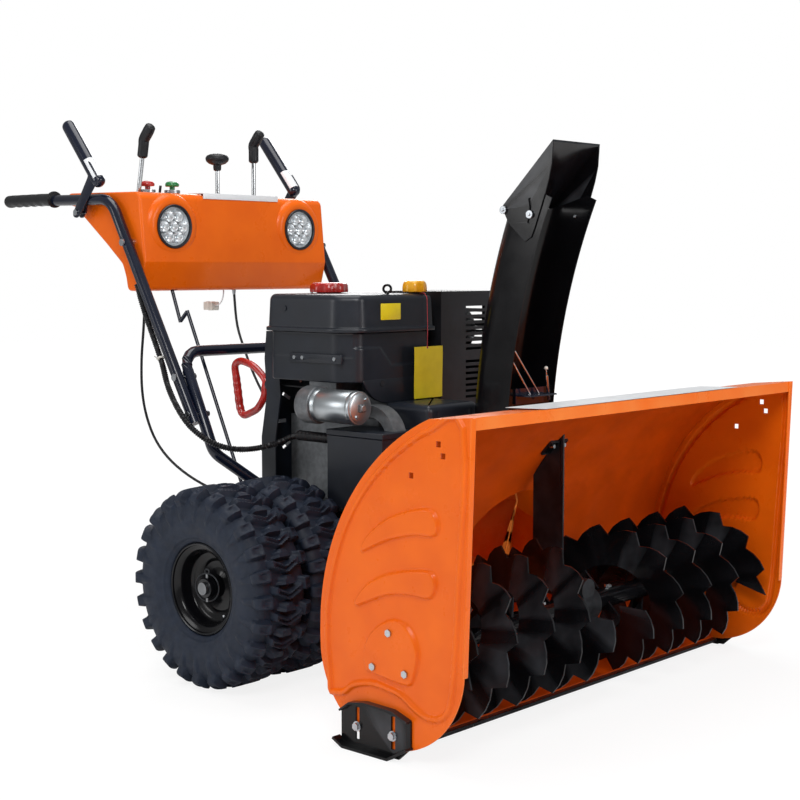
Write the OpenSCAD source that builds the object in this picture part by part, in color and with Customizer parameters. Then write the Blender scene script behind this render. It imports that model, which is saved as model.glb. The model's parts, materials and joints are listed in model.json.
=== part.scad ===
// Two stage snowblower with dual wheels, lamps and electric start.
// Axes: forward travel is -Y, the operator's right is -X, Z is up.
// Origin: on the ground, at the middle of the bounding box.

/* [Clearing housing] */
// Width over the two side plates
housing_w = 1070; // [860:10:1300]
// Height of the housing top
housing_h = 597; // [490:1:612]
// Front edge of the housing, along Y
front_y = -825; // [-860:1:-815]
// Sheet thickness of the side plates
plate_t = 3; // [2:0.5:5]
// Sheet thickness of the curved housing and drum
sheet_t = 2.5; // [1.5:0.5:4]
// Inset of the raised bead from the plate's edge
bead_inset = 26; // [18:1:34]
// Width of the raised bead
bead_w = 11; // [6:1:16]
// Height of beads and embossed fins
emboss_h = 4; // [2:0.5:6]

/* [Auger] */
// Auger axis, along Y
auger_y = -650; // [-652:1:-646]
// Auger axis height
auger_z = 176; // [174:1:182]
// Radius over the teeth
auger_r = 149; // [120:1:152]
// Depth of the saw teeth
tooth_d = 24; // [10:1:30]
// Width of the ribbon below the teeth
ribbon_w = 60; // [40:1:70]
// Ribbon thickness
ribbon_t = 4; // [3:0.5:6]
// Pitch of each ribbon
ribbon_pitch = 215; // [180:5:300]
// Auger shaft radius
auger_shaft_r = 12.5; // [9:0.5:15]
// Auger tube outer radius
auger_tube_r = 20; // [18:0.5:26]

/* [Impeller] */
// Impeller axis height
impeller_z = 212; // [211:1:216]
// Inner radius of the impeller drum
drum_r = 180; // [150:1:182]
// Back face of the drum, along Y
drum_back_y = -350; // [-352:1:-349]
// Radial clearance of the impeller blades
blade_gap = 8; // [3:1:14]
// Number of impeller blades
blade_n = 4; // [3:1:6]
// Impeller shaft radius
impeller_shaft_r = 9.5; // [8:0.5:12]

/* [Chute] */
// Chute axis, along X
chute_x = 75; // [60:1:80]
// Chute axis, along Y
chute_y = -443; // [-446:1:-440]
// Height of the chute's turning ring
ring_z = 441; // [438:1:460]
// Outer width of the chute
chute_w = 152; // [120:1:156]
// Chute wall thickness
chute_t = 2; // [1.5:0.5:3]
// Height where the chute's sides end
chute_top_z = 975; // [900:1:1000]
// Radius of the forward curve of the chute
chute_bend_r = 1389; // [1200:1:1800]
// Depth of the straight sides in front of the round back
chute_side_d = 33; // [20:1:45]

/* [Wheels] */
// Tyre radius over the lugs
wheel_r = 203; // [180:1:215]
// Tyre width
tyre_w = 146; // [110:1:150]
// Radius of the rim's flange
rim_r = 92; // [70:1:110]
// Axle position, along Y
axle_y = -85; // [-100:1:-60]
// Axle radius
axle_r = 12.5; // [10:0.5:15]
// Inner face of the inner tyre, along X
tyre_in_x = 205; // [203:1:220]

/* [Handles] */
// Handle tube radius
tube_r = 12.5; // [10:0.5:14]
// Handle tube wall
tube_t = 2; // [1.5:0.5:3]
// Upper handle, half distance between the tubes
handle_x = 300; // [298:1:330]
// Rear end of the grips, along Y
grip_end_y = 825; // [760:1:900]
// Grip length
grip_l = 192; // [150:1:240]
// Grip radius
grip_r = 16.5; // [15:0.5:20]

/* [Console] */
// Half width of the console
console_x = 284; // [270:1:285]
// Console sheet thickness
console_t = 2.5; // [1.5:0.5:4]
// Lamp distance from the middle
lamp_x = 196; // [150:1:215]
// Lamp radius
lamp_r = 43.5; // [30:0.5:46]

/* [Engine] */
// Crankshaft height
crank_z = 440; // [430:1:450]
// Underside of the fuel tank's flange
tank_z = 704; // [700:1:720]
// Top of the fuel tank
tank_top_z = 782; // [760:1:800]
// Fuel cap radius
fuel_cap_r = 40; // [30:1:42]
// Oil cap radius
oil_cap_r = 25; // [18:0.5:27]
// Starter motor radius
starter_r = 34.5; // [28:0.5:38]

/* [Fits] */
// Running clearance on a radius
run_gap = 0.3; // [0.2:0.05:0.5]
// Clearance between sliding flat faces
slide_gap = 0.3; // [0.2:0.05:0.6]

/* [Hidden] */
$fn = 48;
half_w = housing_w / 2;
// Centre and radius of the round lower part of the side plates
low_y = -644;
low_z = 180;
low_r = 166;
// Centre height and radius of the arched back of the housing
arch_z = 202;
arch_r = 421;
arch_y = low_y + low_r - arch_r;
crown_drop = 8;
wall_x = half_w - plate_t;
lip_h = 22;
lip_y = front_y + 3;

// Points of an arc in a plane, from angle a0 to a1 in n steps
function arc(c, r, a0, a1, n) =
    [for (i = [0:n]) let (a = a0 + (a1 - a0) * i / n) c + r * [cos(a), sin(a)]];
// List in reverse order
function flip(p) = [for (i = [len(p) - 1:-1:0]) p[i]];
// Inward normal of an edge of an anticlockwise outline
function edge_normal(a, b) = [a[1] - b[1], b[0] - a[0]] / norm(b - a);
// Anticlockwise outline moved inwards by d, corners mitred
function inset(p, d) =
    [for (i = [0:len(p) - 1])
        let (n = len(p), a = p[(i + n - 1) % n], b = p[i], c = p[(i + 1) % n],
             u = edge_normal(a, b), v = edge_normal(b, c))
        b + d * (u + v) / (1 + u * v)];
// Angle on the arch at which the straight crown begins
function arch_top(o) = asin((housing_h - crown_drop - o - arch_z) / (arch_r - o));
// Arched back and round bottom of the housing, inset by o, from top to angle a1
function back_curve(o, a1) = concat(
    arc([arch_y, arch_z], arch_r - o, arch_top(o), 0, 18),
    arc([low_y, low_z], low_r - o, 0, a1, 14));
// Outline of a side plate, inset by o
function plate_outline(o) = concat(
    [[front_y + o, housing_h - o]],
    back_curve(o, -90),
    arc([low_y, low_z], low_r - o, -97, -175, 8));
// Outline of the curved sheet, inset by o, from the lip to its lowest line
function sheet_path(o) = concat(
    [[lip_y + o, housing_h - lip_h], [lip_y + o, housing_h - 1 - o]], back_curve(o, -90));

// Extrudes an outline drawn in (Y, Z) from x0 to x1
module slab(x0, x1) { translate([x0, 0, 0]) rotate([90, 0, 90]) linear_extrude(x1 - x0) children(); }
// Cylinder along X, Y or Z, from a to b at the place (u, v) on the other two axes
module rod_x(r, a, b, y, z) { translate([a, y, z]) rotate([0, 90, 0]) cylinder(r = r, h = b - a); }
module rod_y(r, a, b, x, z) { translate([x, a, z]) rotate([-90, 0, 0]) cylinder(r = r, h = b - a); }
module rod_z(r, a, b, x, y) { translate([x, y, a]) cylinder(r = r, h = b - a); }
// Box between two corners
module box(a, b) { translate(a) cube(b - a); }
// Copies of a part on both sides of the machine
module both_sides() { for (s = [0, 1]) mirror([s, 0, 0]) children(); }
// Straight cylinder from point a to point b
module rod(a, b, r) {
    d = b - a;
    translate(a) rotate([0, acos(d[2] / norm(d)), atan2(d[1], d[0])]) cylinder(r = r, h = norm(d));
}

// Corner b of a bent tube as k + 1 points on an arc of radius br
function corner(a, b, c, br, k) =
    let (u = (a - b) / norm(a - b), v = (c - b) / norm(c - b), half = acos(u * v) / 2,
         m = (u + v) / norm(u + v), w = (v - u) / norm(v - u), centre = b + m * br / sin(half))
    [for (i = [0:k]) let (f = (90 - half) * (2 * i / k - 1)) centre + br * (sin(f) * w - cos(f) * m)];
// Centre line of a bent tube: the list of points with rounded corners
function bent(p, br, k) = concat([p[0]],
    [for (i = [1:len(p) - 2]) each corner(p[i - 1], p[i], p[i + 1], br, k)], [p[len(p) - 1]]);
// Smooth point on a route: Catmull-Rom between p[i] and p[i + 1]
function spline_at(p, i, t) =
    let (n = len(p) - 1, a = p[max(i - 1, 0)], b = p[i], c = p[i + 1], d = p[min(i + 2, n)])
    0.5 * (2 * b + (c - a) * t + (2 * a - 5 * b + 4 * c - d) * t * t + (3 * b - a - 3 * c + d) * t * t * t);
function smooth(p, k) = concat(
    [for (i = [0:len(p) - 2]) for (j = [0:k - 1]) spline_at(p, i, j / k)], [p[len(p) - 1]]);
// Sweeps a round section along points as one closed polyhedron
module sweep(p, r, sides) {
    n = len(p);
    function dir(i) = let (d = p[min(i + 1, n - 1)] - p[max(i - 1, 0)]) d / norm(d);
    function side(i) = let (s = cross(dir(i), [0.31, 0.2, 0.93])) s / norm(s);
    pts = [for (i = [0:n - 1]) for (j = [0:sides - 1])
        let (a = 360 * j / sides, s = side(i)) p[i] + r * (cos(a) * s + sin(a) * cross(dir(i), s))];
    walls = [for (i = [0:n - 2]) for (j = [0:sides - 1]) for (k = [0, 1])
        let (a = i * sides + j, b = i * sides + (j + 1) % sides)
        k == 0 ? [a, a + sides, b] : [b, a + sides, b + sides]];
    ends = [[for (j = [0:sides - 1]) j], [for (j = [sides - 1:-1:0]) (n - 1) * sides + j]];
    polyhedron(points = pts, faces = concat(walls, ends));
}

// ---------------------------------------------------------------- housing
bearing_ring_r = 43;
bolt_r = 4;
// Places of the fixed fasteners on a side plate, as (Y, Z)
bearing_bolts = [for (a = [90, 210, 330]) [auger_y, auger_z] + bearing_ring_r * [cos(a), sin(a)]];
skid_bolts = [[-573, 41], [-657, 41]];
square_holes = [[-754, 549], [-764, 530], [-694, 492]];
fin_tilt = 24;

// Leaf shaped emboss: pointed at the back, round at the front
module fin(y, z, l, h) {
    translate([y, z]) rotate(-fin_tilt) polygon(concat(
        [[0, 0]], arc([-l * 0.72, -h * 0.62], l * 0.3, 60, 200, 8),
        arc([-l * 0.88, -h * 1.0], h * 0.4, 200, 290, 5)));
}
module plate_emboss() {
    difference() {
        polygon(plate_outline(bead_inset));
        polygon(plate_outline(bead_inset + bead_w));
        translate([low_y - 66, -50]) square([190, 150]);
    }
    fin(-572, 365, 190, 92);
    fin(-560, 262, 190, 92);
    polygon(concat(arc([auger_y, auger_z + 38], 28, 150, 30, 6),
        arc([auger_y + 46, auger_z - 24], 22, 10, -90, 5),
        arc([auger_y - 30, auger_z - 24], 22, -90, -170, 5)));
}
module side_plate() {
    difference() {
        union() {
            slab(wall_x, half_w) polygon(plate_outline(0));
            slab(half_w - 0.5, half_w + emboss_h) plate_emboss();
        }
        for (b = bearing_bolts) rod_x(bolt_r + run_gap, wall_x - 9, half_w + 9, b[0], b[1]);
        for (b = skid_bolts) rod_x(bolt_r + run_gap, wall_x - 9, half_w + 9, b[0], b[1]);
        for (h = square_holes) box([wall_x - 9, h[0] - 5, h[1] - 5], [half_w + 9, h[0] + 5, h[1] + 5]);
    }
}
module side_plate_right() { color("darkorange") mirror([1, 0, 0]) side_plate(); }
module side_plate_left() { color("darkorange") side_plate(); }

module auger_housing() {
    color("darkorange") difference() {
        slab(-wall_x, wall_x) polygon(concat(sheet_path(0), flip(sheet_path(sheet_t))));
        rod_y(drum_r, -600, -440, 0, impeller_z);
        for (b = support_bolts) rod_y(bolt_r + run_gap, b[1] - 60, b[1] + 60, b[0], b[2]);
    }
}

scraper_w = 52;
scraper_t = 7;
module scraper_bar() {
    top = low_z - low_r - slide_gap;
    color("dimgray") box([-wall_x + slide_gap, low_y - scraper_w / 4, top - scraper_t],
        [wall_x - slide_gap, low_y + scraper_w * 3 / 4, top]);
}

// Drum behind the housing, with the neck that carries the chute
neck_r = 80;
ring_r = 92;
module impeller_housing() {
    color("darkorange") difference() {
        union() {
            rod_y(drum_r + sheet_t, -560, drum_back_y, 0, impeller_z);
            rod_z(neck_r, impeller_z, ring_z, chute_x, chute_y);
            rod_z(ring_r, ring_z - 4, ring_z, chute_x, chute_y);
        }
        rod_y(drum_r, -561, drum_back_y - 3, 0, impeller_z);
        rod_z(neck_r - sheet_t, impeller_z, ring_z + 1, chute_x, chute_y);
        rod_y(impeller_shaft_r + run_gap, -360, -340, 0, impeller_z);
        slab(-400, 400) polygon(concat([[-900, 0], [-900, housing_h]], back_curve(0, -90)));
    }
}

bearing_in_x = wall_x - 24;
module auger_bearing_cups() {
    color("silver") both_sides() difference() {
        union() {
            rod_x(54, wall_x - 4, wall_x, auger_y, auger_z);
            rod_x(auger_shaft_r + 11, bearing_in_x, wall_x - 3, auger_y, auger_z);
        }
        rod_x(auger_shaft_r + run_gap, bearing_in_x - 1, wall_x - 3, auger_y, auger_z);
        for (b = bearing_bolts) rod_x(bolt_r + run_gap, wall_x - 9, half_w, b[0], b[1]);
    }
}

module housing_bolts() {
    color("silver") both_sides() {
        for (b = bearing_bolts) {
            rod_x(bolt_r, wall_x - 10, half_w + emboss_h + 2, b[0], b[1]);
            rod_x(9, half_w + emboss_h, half_w + emboss_h + 2, b[0], b[1]);
            translate([half_w + emboss_h + 2, b[0], b[1]]) rotate([0, 90, 0]) cylinder(r = 7, h = 5, $fn = 6);
        }
        for (b = skid_bolts) {
            rod_x(bolt_r, wall_x - 8, skid_x + skid_t + 7, b[0], b[1]);
            rod_x(9, skid_x + skid_t + slide_gap, skid_x + skid_t + 2, b[0], b[1]);
            translate([skid_x + skid_t + 2, b[0], b[1]]) rotate([0, 90, 0]) cylinder(r = 7, h = 5, $fn = 6);
            rod_x(7, wall_x - 5, wall_x, b[0], b[1]);
        }
    }
    color("silver") for (b = support_bolts) {
        rod_y(bolt_r, b[1] - 14, b[1] + 18, b[0], b[2]);
    }
}

// ---------------------------------------------------------------- skid shoes
skid_x = half_w + slide_gap;
skid_t = 4;
skid_foot_w = 19;
skid_slot_up = 34;
skid_slot_down = 24;
module skid_shoe() {
    difference() {
        union() {
            slab(skid_x, skid_x + skid_t) polygon([[-534, 8], [-534, 65], [-560, 82], [-594, 88],
                [-660, 86], [-697, 73], [-697, 26], [-670, 2], [-560, 2]]);
            slab(skid_x, skid_x + skid_foot_w) polygon([[-548, 0], [-524, 12], [-526, 16], [-549, 5],
                [-655, 5], [-697, 29], [-700, 26], [-656, 0]]);
            slab(skid_x, skid_x + 14) polygon([[-536, 66], [-560, 83], [-594, 89], [-660, 87], [-696, 75],
                [-696, 71], [-660, 83], [-594, 85], [-560, 79], [-538, 63]]);
        }
        for (b = skid_bolts) {
            box([skid_x - 1, b[0] - 4.6, b[1] - skid_slot_down], [skid_x + skid_t + 1, b[0] + 4.6,
                b[1] + skid_slot_up]);
        }
    }
}
module skid_shoe_right() { color("black") mirror([1, 0, 0]) skid_shoe(); }
module skid_shoe_left() { color("black") skid_shoe(); }

// ---------------------------------------------------------------- gearbox and auger
case_x = 38;
case_r = 36;
case_wall = 4;
worm_tube_r = 21;
worm_tube_end = -556;
wheel_gear_r = 24.2;
worm_r = impeller_z - auger_z - wheel_gear_r - 0.6;
support_t = 4;
support_y0 = -618;
support_y1 = -545;
// Angle on the arch above a place along Y
function arch_at(y) = acos((y - arch_y) / (arch_r - sheet_t));
function arch_z_at(y) = min(arch_z + (arch_r - sheet_t) * sin(arch_at(y)), housing_h - crown_drop - sheet_t);
support_bolts = [for (x = [-17, 17]) [x, -594, arch_z_at(-594)]];

module gearbox_case() {
    color("silver") for (s = [0, 1]) mirror([s, 0, 0]) difference() {
        union() {
            rod_x(case_r, 0, case_x, auger_y, auger_z);
            rod_x(case_r - 12, case_x - 1, case_x + 7, auger_y, auger_z);
            rod_y(worm_tube_r, auger_y - 30, worm_tube_end, 0, impeller_z);
        }
        rod_x(case_r - case_wall, -1, case_x - case_wall, auger_y, auger_z);
        rod_x(auger_shaft_r + run_gap, -1, case_x + 9, auger_y, auger_z);
        rod_y(worm_tube_r - case_wall, auger_y - 26, worm_tube_end - 10, 0, impeller_z);
        rod_y(impeller_shaft_r + run_gap, worm_tube_end - 11, worm_tube_end + 1, 0, impeller_z);
        box([-60, -750, 0], [0, -500, 400]);
    }
}

module gearbox_support() {
    n = 8;
    color("black") difference() {
        union() {
            slab(-support_t / 2, support_t / 2) polygon(concat(
                [[support_y1, impeller_z + worm_tube_r + 0.3], [support_y1, arch_z_at(support_y1)]],
                [for (i = [1:n]) let (y = support_y1 + (support_y0 - support_y1) * i / n) [y,
                    arch_z_at(y) - 0.6]],
                [[support_y0, impeller_z + worm_tube_r + 0.3]]));
            slab(-28, 28) polygon([for (i = [0:4]) let (y = -582 - 6 * i) [y, arch_z_at(y) - 0.6],
                for (i = [4:-1:0]) let (y = -582 - 6 * i) [y - 2, arch_z_at(y) - 5]]);
            box([-20, support_y0 + 8, impeller_z + worm_tube_r + 0.3],
                [20, worm_tube_end - 2, impeller_z + worm_tube_r + 4]);
        }
        for (b = support_bolts) rod_y(bolt_r + run_gap, b[1] - 60, b[1] + 60, b[0], b[2]);
    }
}

auger_end = bearing_in_x - 6;
auger_start = case_x + 12;
module auger_shaft() {
    color("dimgray") rod_x(auger_shaft_r, -wall_x + 4, wall_x - 4, auger_y, auger_z);
}
module worm_wheel() {
    color("gold") difference() {
        rod_x(wheel_gear_r, -11, 11, auger_y, auger_z);
        rod_x(auger_shaft_r + run_gap, -12, 12, auger_y, auger_z);
        for (a = [0:18:359]) translate([0, auger_y, auger_z]) rotate([a, 0, 0])
            rotate([0, 6, 0]) translate([-14, 0, wheel_gear_r + 0.6]) rotate([0, 90, 0])
                cylinder(r = 1.9, h = 28);
    }
}

// Outer radius of the ribbon at angle a: a hooked tooth every 30 degrees
tooth_step = 30;
function tooth(a) = let (f = (a % tooth_step) / tooth_step) auger_r - tooth_d * (1 - f) * (1 - f);
ribbon_out = auger_r - tooth_d;
ribbon_in = ribbon_out - ribbon_w;
// One toothed ribbon from x0 over the angle turn, as a closed polyhedron
module ribbon(x0, phase, turn) {
    step = 7.5;
    n = floor(turn / step);
    h = ribbon_t / 2;
    pts = [for (i = [0:n])
        let (a = phase + i * step, x = x0 + ribbon_pitch * i * step / 360, q = i == n ? 29 : i * step)
        for (c = [[ribbon_in, -h], [tooth(q), -h], [tooth(q), h], [ribbon_in, h]])
            [x + c[1], c[0] * cos(a), c[0] * sin(a)]];
    walls = [for (i = [0:n - 1]) for (j = [0:3]) for (k = [0, 1])
        let (a = 4 * i + j, b = 4 * i + (j + 1) % 4) k == 0 ? [a, b, a + 4] : [b, b + 4, a + 4]];
    polyhedron(points = pts, faces = concat(walls, [[3, 2, 1, 0], [4 * n, 4 * n + 1, 4 * n + 2, 4 * n + 3]]));
}
ribbon_x0 = auger_start + 6;
ribbon_turn = 360 * (auger_end - ribbon_x0 - 6) / ribbon_pitch;
spoke_w = 26;
spoke_root = auger_tube_r - 3;
spoke_end = sqrt(pow(ribbon_in - 0.4, 2) - pow(spoke_w / 2, 2));
module auger_half() {
    translate([0, auger_y, auger_z]) for (s = [0, 180]) ribbon(ribbon_x0, s, ribbon_turn);
    difference() {
        union() {
            rod_x(auger_tube_r, auger_start, auger_end, auger_y, auger_z);
            for (s = [0, 180]) for (t = [0.06, 0.37, 0.68, 0.96]) {
                x = ribbon_x0 + ribbon_pitch * ribbon_turn * t / 360;
                translate([x, auger_y, auger_z]) rotate([s + ribbon_turn * t, 0, 0])
                    translate([-2.5, spoke_root, -spoke_w / 2])
                    cube([5, spoke_end - spoke_root, spoke_w]);
            }
        }
        rod_x(auger_shaft_r + run_gap, auger_start - 1, auger_end + 1, auger_y, auger_z);
        for (x = shear_x) rod_z(4 + run_gap, auger_z - 40, auger_z + 40, x, auger_y);
    }
}
shear_inset = 60;
shear_x = [auger_start + shear_inset, auger_end - shear_inset];
module auger_left() { color("black") auger_half(); }
module auger_right() { color("black") mirror([1, 0, 0]) auger_half(); }
module shear_pins() {
    color("silver") both_sides() for (x = shear_x) difference() {
        union() {
            rod_z(4, auger_z - 27, auger_z + 24, x, auger_y);
            translate([x, auger_y, auger_z + auger_tube_r + 0.3]) cylinder(r = 7, h = 5, $fn = 6);
        }
        rod_x(auger_shaft_r + 0.1, x - 12, x + 12, auger_y, auger_z);
    }
}

// ---------------------------------------------------------------- impeller and belt drive
pulley_y = -336;
pulley_w = 26;
impeller_pulley_r = 80;
engine_pulley_r = 40;
belt_w = 12;
groove_d = 11;
pulley_gap = 0.4;
module impeller() {
    r = drum_r - blade_gap;
    color("darkorange") union() {
        difference() {
            rod_y(27, -462, drum_back_y - 10, 0, impeller_z);
            rod_y(impeller_shaft_r + run_gap, -463, drum_back_y - 9, 0, impeller_z);
        }
        for (i = [0:blade_n - 1]) translate([0, 0, impeller_z]) rotate([0, 360 / blade_n * i + 20, 0]) {
            box([24, -462, -2.5], [r - 14, drum_back_y - 14, 2.5]);
            translate([r - 15, 0, -2.5]) rotate([0, -38, 0]) box([0, -462, 0], [17, drum_back_y - 14, 5]);
            box([24, drum_back_y - 17, -2.5], [90, drum_back_y - 14, 30]);
        }
    }
}
module impeller_shaft() {
    color("silver") union() {
        rod_y(impeller_shaft_r, auger_y - 24, -296, 0, impeller_z);
        difference() {
            rod_y(worm_r, auger_y - 18, auger_y + 18, 0, impeller_z);
            for (y = [auger_y - 15:6:auger_y + 15]) translate([0, y, impeller_z]) rotate([-90, 0, 0])
                rotate_extrude() translate([worm_r + 0.4, 0]) circle(1.3);
        }
    }
}
module pulley(r, bore, z) {
    difference() {
        translate([0, pulley_y, z]) rotate([-90, 0, 0]) rotate_extrude() polygon([[bore, 0], [r, 0], [r, 6.5],
            [r - groove_d, 6.5], [r - groove_d, pulley_w - 6.5], [r, pulley_w - 6.5], [r, pulley_w],
            [bore + 12, pulley_w], [bore + 12, pulley_w + 8], [bore, pulley_w + 8]]);
        if (r > 60) for (a = [0:60:359]) translate([0, 0, z]) rotate([0, a, 0])
            rod_y(12, pulley_y - 1, pulley_y + 40, 45, 0);
    }
}
module impeller_pulley() { color("dimgray") pulley(impeller_pulley_r, impeller_shaft_r + run_gap,
    impeller_z); }
module engine_pulley() {
    color("dimgray") union() {
        pulley(engine_pulley_r, 9, crank_z);
        rod_y(9.5, pulley_y, block_front_y + 12, 0, crank_z);
    }
}
// Outline of a belt round both pulleys, at the distance o above the groove floor
function belt_outline(o) =
    let (r0 = impeller_pulley_r - groove_d + o, r1 = engine_pulley_r - groove_d + o,
         t = asin((r0 - r1) / (crank_z - impeller_z)))
    concat(arc([0, impeller_z], r0, 180 - t, 360 + t, 30), arc([0, crank_z], r1, t, 180 - t, 16));
module drive_belt() {
    color("black") translate([0, pulley_y + (pulley_w + belt_w) / 2, 0]) rotate([90, 0, 0])
        linear_extrude(belt_w) difference() {
            polygon(belt_outline(groove_d - 1));
            polygon(belt_outline(pulley_gap));
        }
}

// ---------------------------------------------------------------- tractor frame and wheels
frame_x = 175;
frame_t = 3;
frame_rear_y = 60;
frame_z0 = 103;
deck_z = 333;
module tractor_frame() {
    color("black") difference() {
        union() {
            box([-frame_x, drum_back_y, frame_z0], [frame_x, frame_rear_y, deck_z]);
            box([guide_x - 3, frame_rear_y - 1, guide_z - 8], [guide_x + 3, rod_y_at(guide_z), guide_z + 8]);
            rod([guide_x, rod_y_at(guide_z - 12), guide_z - 12], [guide_x, rod_y_at(guide_z + 12),
                guide_z + 12], 9);
        }
        rod([guide_x, rod_y_at(guide_z - 40), guide_z - 40], [guide_x, rod_y_at(guide_z + 40), guide_z + 40],
            4 + run_gap);
        box([-frame_x + frame_t, drum_back_y + frame_t, frame_z0 + frame_t],
            [frame_x - frame_t, frame_rear_y - frame_t, deck_z - frame_t]);
        rod_y(36, drum_back_y - 1, drum_back_y + frame_t + 1, 0, impeller_z);
        box([-63, pulley_y - 6, deck_z - 9], [63, pulley_y + pulley_w + 14, deck_z + 1]);
        rod_x(axle_r + 4, -frame_x - 1, frame_x + 1, axle_y, wheel_r);
        for (s = [-1, 1]) for (b = frame_bolts) rod_x(bolt_r + run_gap, s * frame_x - 5,
            s * frame_x + 5, b[0], b[1]);
    }
}
module axle_bearing_cups() {
    color("silver") both_sides() difference() {
        union() {
            rod_x(30, frame_x, frame_x + 4, axle_y, wheel_r);
            rod_x(axle_r + 8, frame_x + 3, frame_x + 12, axle_y, wheel_r);
        }
        rod_x(axle_r + run_gap, frame_x - 1, frame_x + 13, axle_y, wheel_r);
    }
}
tyre_pitch = tyre_w + 1;
// Middle of each tyre on one side
tyre_x = [tyre_in_x + tyre_w / 2, tyre_in_x + tyre_w / 2 + tyre_pitch];
axle_end = tyre_x[1] + 50;
pin_x = tyre_x[1] + 36;
hub_r = 20;
module axle() {
    color("dimgray") difference() {
        rod_x(axle_r, -axle_end, axle_end, axle_y, wheel_r);
        for (s = [-1, 1]) rod_z(3.4, wheel_r - 30, wheel_r + 30, s * pin_x, axle_y);
    }
    color("dimgray") difference() {
        rod_x(78, -60, -50, axle_y, wheel_r);
        rod_x(axle_r + run_gap, -61, -49, axle_y, wheel_r);
        for (a = [0:60:359]) translate([0, axle_y, wheel_r]) rotate([a, 0, 0]) rod_x(15, -61, -49, 0, 46);
    }
}
module lynch_pins() {
    color("silver") both_sides() {
        rod_z(3, wheel_r - hub_r - 8, wheel_r + hub_r + 8, pin_x, axle_y);
        translate([pin_x, axle_y, wheel_r + hub_r + 12]) rotate([0, 90, 0]) rotate_extrude()
            translate([6, 0]) circle(1.6);
        translate([pin_x, axle_y, wheel_r + 1]) rotate([14, 90, 0])
            rotate_extrude() translate([hub_r + 8, 0]) circle(1.6);
    }
}
// Half section of a wheel disc, as (radius, distance from the tyre's middle)
rim_half = tyre_w / 2 - 21;
module rim(x, dish) {
    e = rim_half;
    translate([x, axle_y, wheel_r]) rotate([0, 90, 0]) difference() {
        rotate_extrude() polygon([[rim_r, -e], [rim_r, 6 - e], [rim_r - 12, 8 - e], [rim_r - 16, -20],
            [rim_r - 16, 20], [rim_r - 12, e - 8], [rim_r, e - 6], [rim_r, e], [rim_r - 4, e],
                [rim_r - 4, e - 2],
            [rim_r - 14, e - 5], [rim_r - 19, 21], [rim_r - 19, dish + 5], [rim_r - 42, dish - 3],
            [hub_r, dish - 3], [hub_r, 44], [axle_r + run_gap, 44], [axle_r + run_gap, -44], [hub_r, -44],
            [hub_r, dish - 6.5], [rim_r - 41, dish - 6.5], [rim_r - 19, dish + 1], [rim_r - 19, -21],
            [rim_r - 14, 5 - e], [rim_r - 4, 2 - e], [rim_r - 4, -e]]);
        if (x > tyre_x[0] + 1) rotate([0, 90, 0]) translate([0, 0, -40]) translate([-36, 0, 0])
            cylinder(r = 3.4, h = 80);
    }
}
module rims() { color("black") both_sides() for (x = tyre_x) rim(x, 8); }
// Hollow tyre; its half sections are lists of (radius, distance from the middle)
module tyre(x) {
    w = tyre_w / 2;
    e = rim_half;
    side = [[rim_r - 12.6, 14 - e], [rim_r - 11.4, 8.4 - e], [rim_r + 0.4, 6.4 - e], [rim_r + 1, -e - 2],
        [rim_r + 8, -e - 8], [rim_r + 30, -w], [wheel_r - 34, -w], [wheel_r - 14, -w + 6],
        [wheel_r - 4, -w + 18], [wheel_r, -w + 32]];
    inner = [[rim_r - 10, 17 - e], [rim_r + 2, 12 - e], [rim_r + 10, -e], [rim_r + 32, -w + 9],
        [wheel_r - 36, -w + 9], [wheel_r - 24, -w + 16], [wheel_r - 18, -w + 32]];
    function other(p) = [for (q = flip(p)) [q[0], -q[1]]];
    translate([x, axle_y, wheel_r]) rotate([0, 90, 0]) rotate_extrude($fn = 96)
        polygon(concat(side, other(side), flip(concat(inner, other(inner)))));
}
module tyres_left() { color("#22242a") for (x = tyre_x) tyre(x); }
module tyres_right() { color("#22242a") mirror([1, 0, 0]) for (x = tyre_x) tyre(x); }

// ---------------------------------------------------------------- handles
bend_r = 45;
upper_bend_r = 60;
low_handle_x = handle_x - 2 * tube_r - 0.5;
grip_front_y = grip_end_y - grip_l;
upper_route = [[handle_x, grip_end_y - 4, 997], [handle_x, 420, 990], [handle_x, 138, 503]];
lower_half = [[low_handle_x, 210, 654], [low_handle_x, 108, 441],
    [frame_x + tube_r + 0.5, 46, 362], [frame_x + tube_r + 0.5, -24, 292]];
lower_route = concat([for (q = flip(lower_half)) [-q[0], q[1], q[2]]], lower_half);
// Place on the sloping stretch of the upper tube at height z
function slope_y(z) = 138 + (420 - 138) * (z - 503) / (990 - 503);
frame_bolts = [[6, 322], [-14, 302]];
joint_bolts = [[190, 601], [147, 522]];
console_bolts = [[slope_y(893), 893]];
lever_y = 529;
lever_z = 967;
module upper_handle() {
    difference() {
        union() {
            sweep(bent(upper_route, upper_bend_r, 6), tube_r, 16);
            difference() {
                slab(handle_x - 2, handle_x + 2) polygon(concat([[lever_y - 22, 985], [lever_y - 15, 962]],
                    arc([lever_y, lever_z - 6], 10, 190, 350, 8), [[lever_y + 16, 985]]));
                rod(upper_route[0] - [0, 90, 0], upper_route[1], tube_r - 0.4);
            }
        }
        rod_x(bolt_r + run_gap, handle_x - 20, handle_x + 20, lever_y, lever_z - 4);
        for (b = joint_bolts) rod_x(bolt_r + run_gap, handle_x - 20, handle_x + 20, b[0], b[1]);
        for (b = console_bolts) rod_x(bolt_r + run_gap, handle_x - 20, handle_x + 20, b[0], b[1]);
    }
}
module upper_handle_left() { color("#1d2230") upper_handle(); }
module upper_handle_right() { color("#1d2230") mirror([1, 0, 0]) upper_handle(); }
module lower_handle() {
    color("#1d2230") difference() {
        sweep(bent(lower_route, bend_r, 5), tube_r, 16);
        for (b = joint_bolts) rod_x(bolt_r + run_gap, -handle_x, handle_x, b[0], b[1]);
        for (b = frame_bolts) rod_x(bolt_r + run_gap, -handle_x, handle_x, b[0], b[1]);
    }
}
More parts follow.
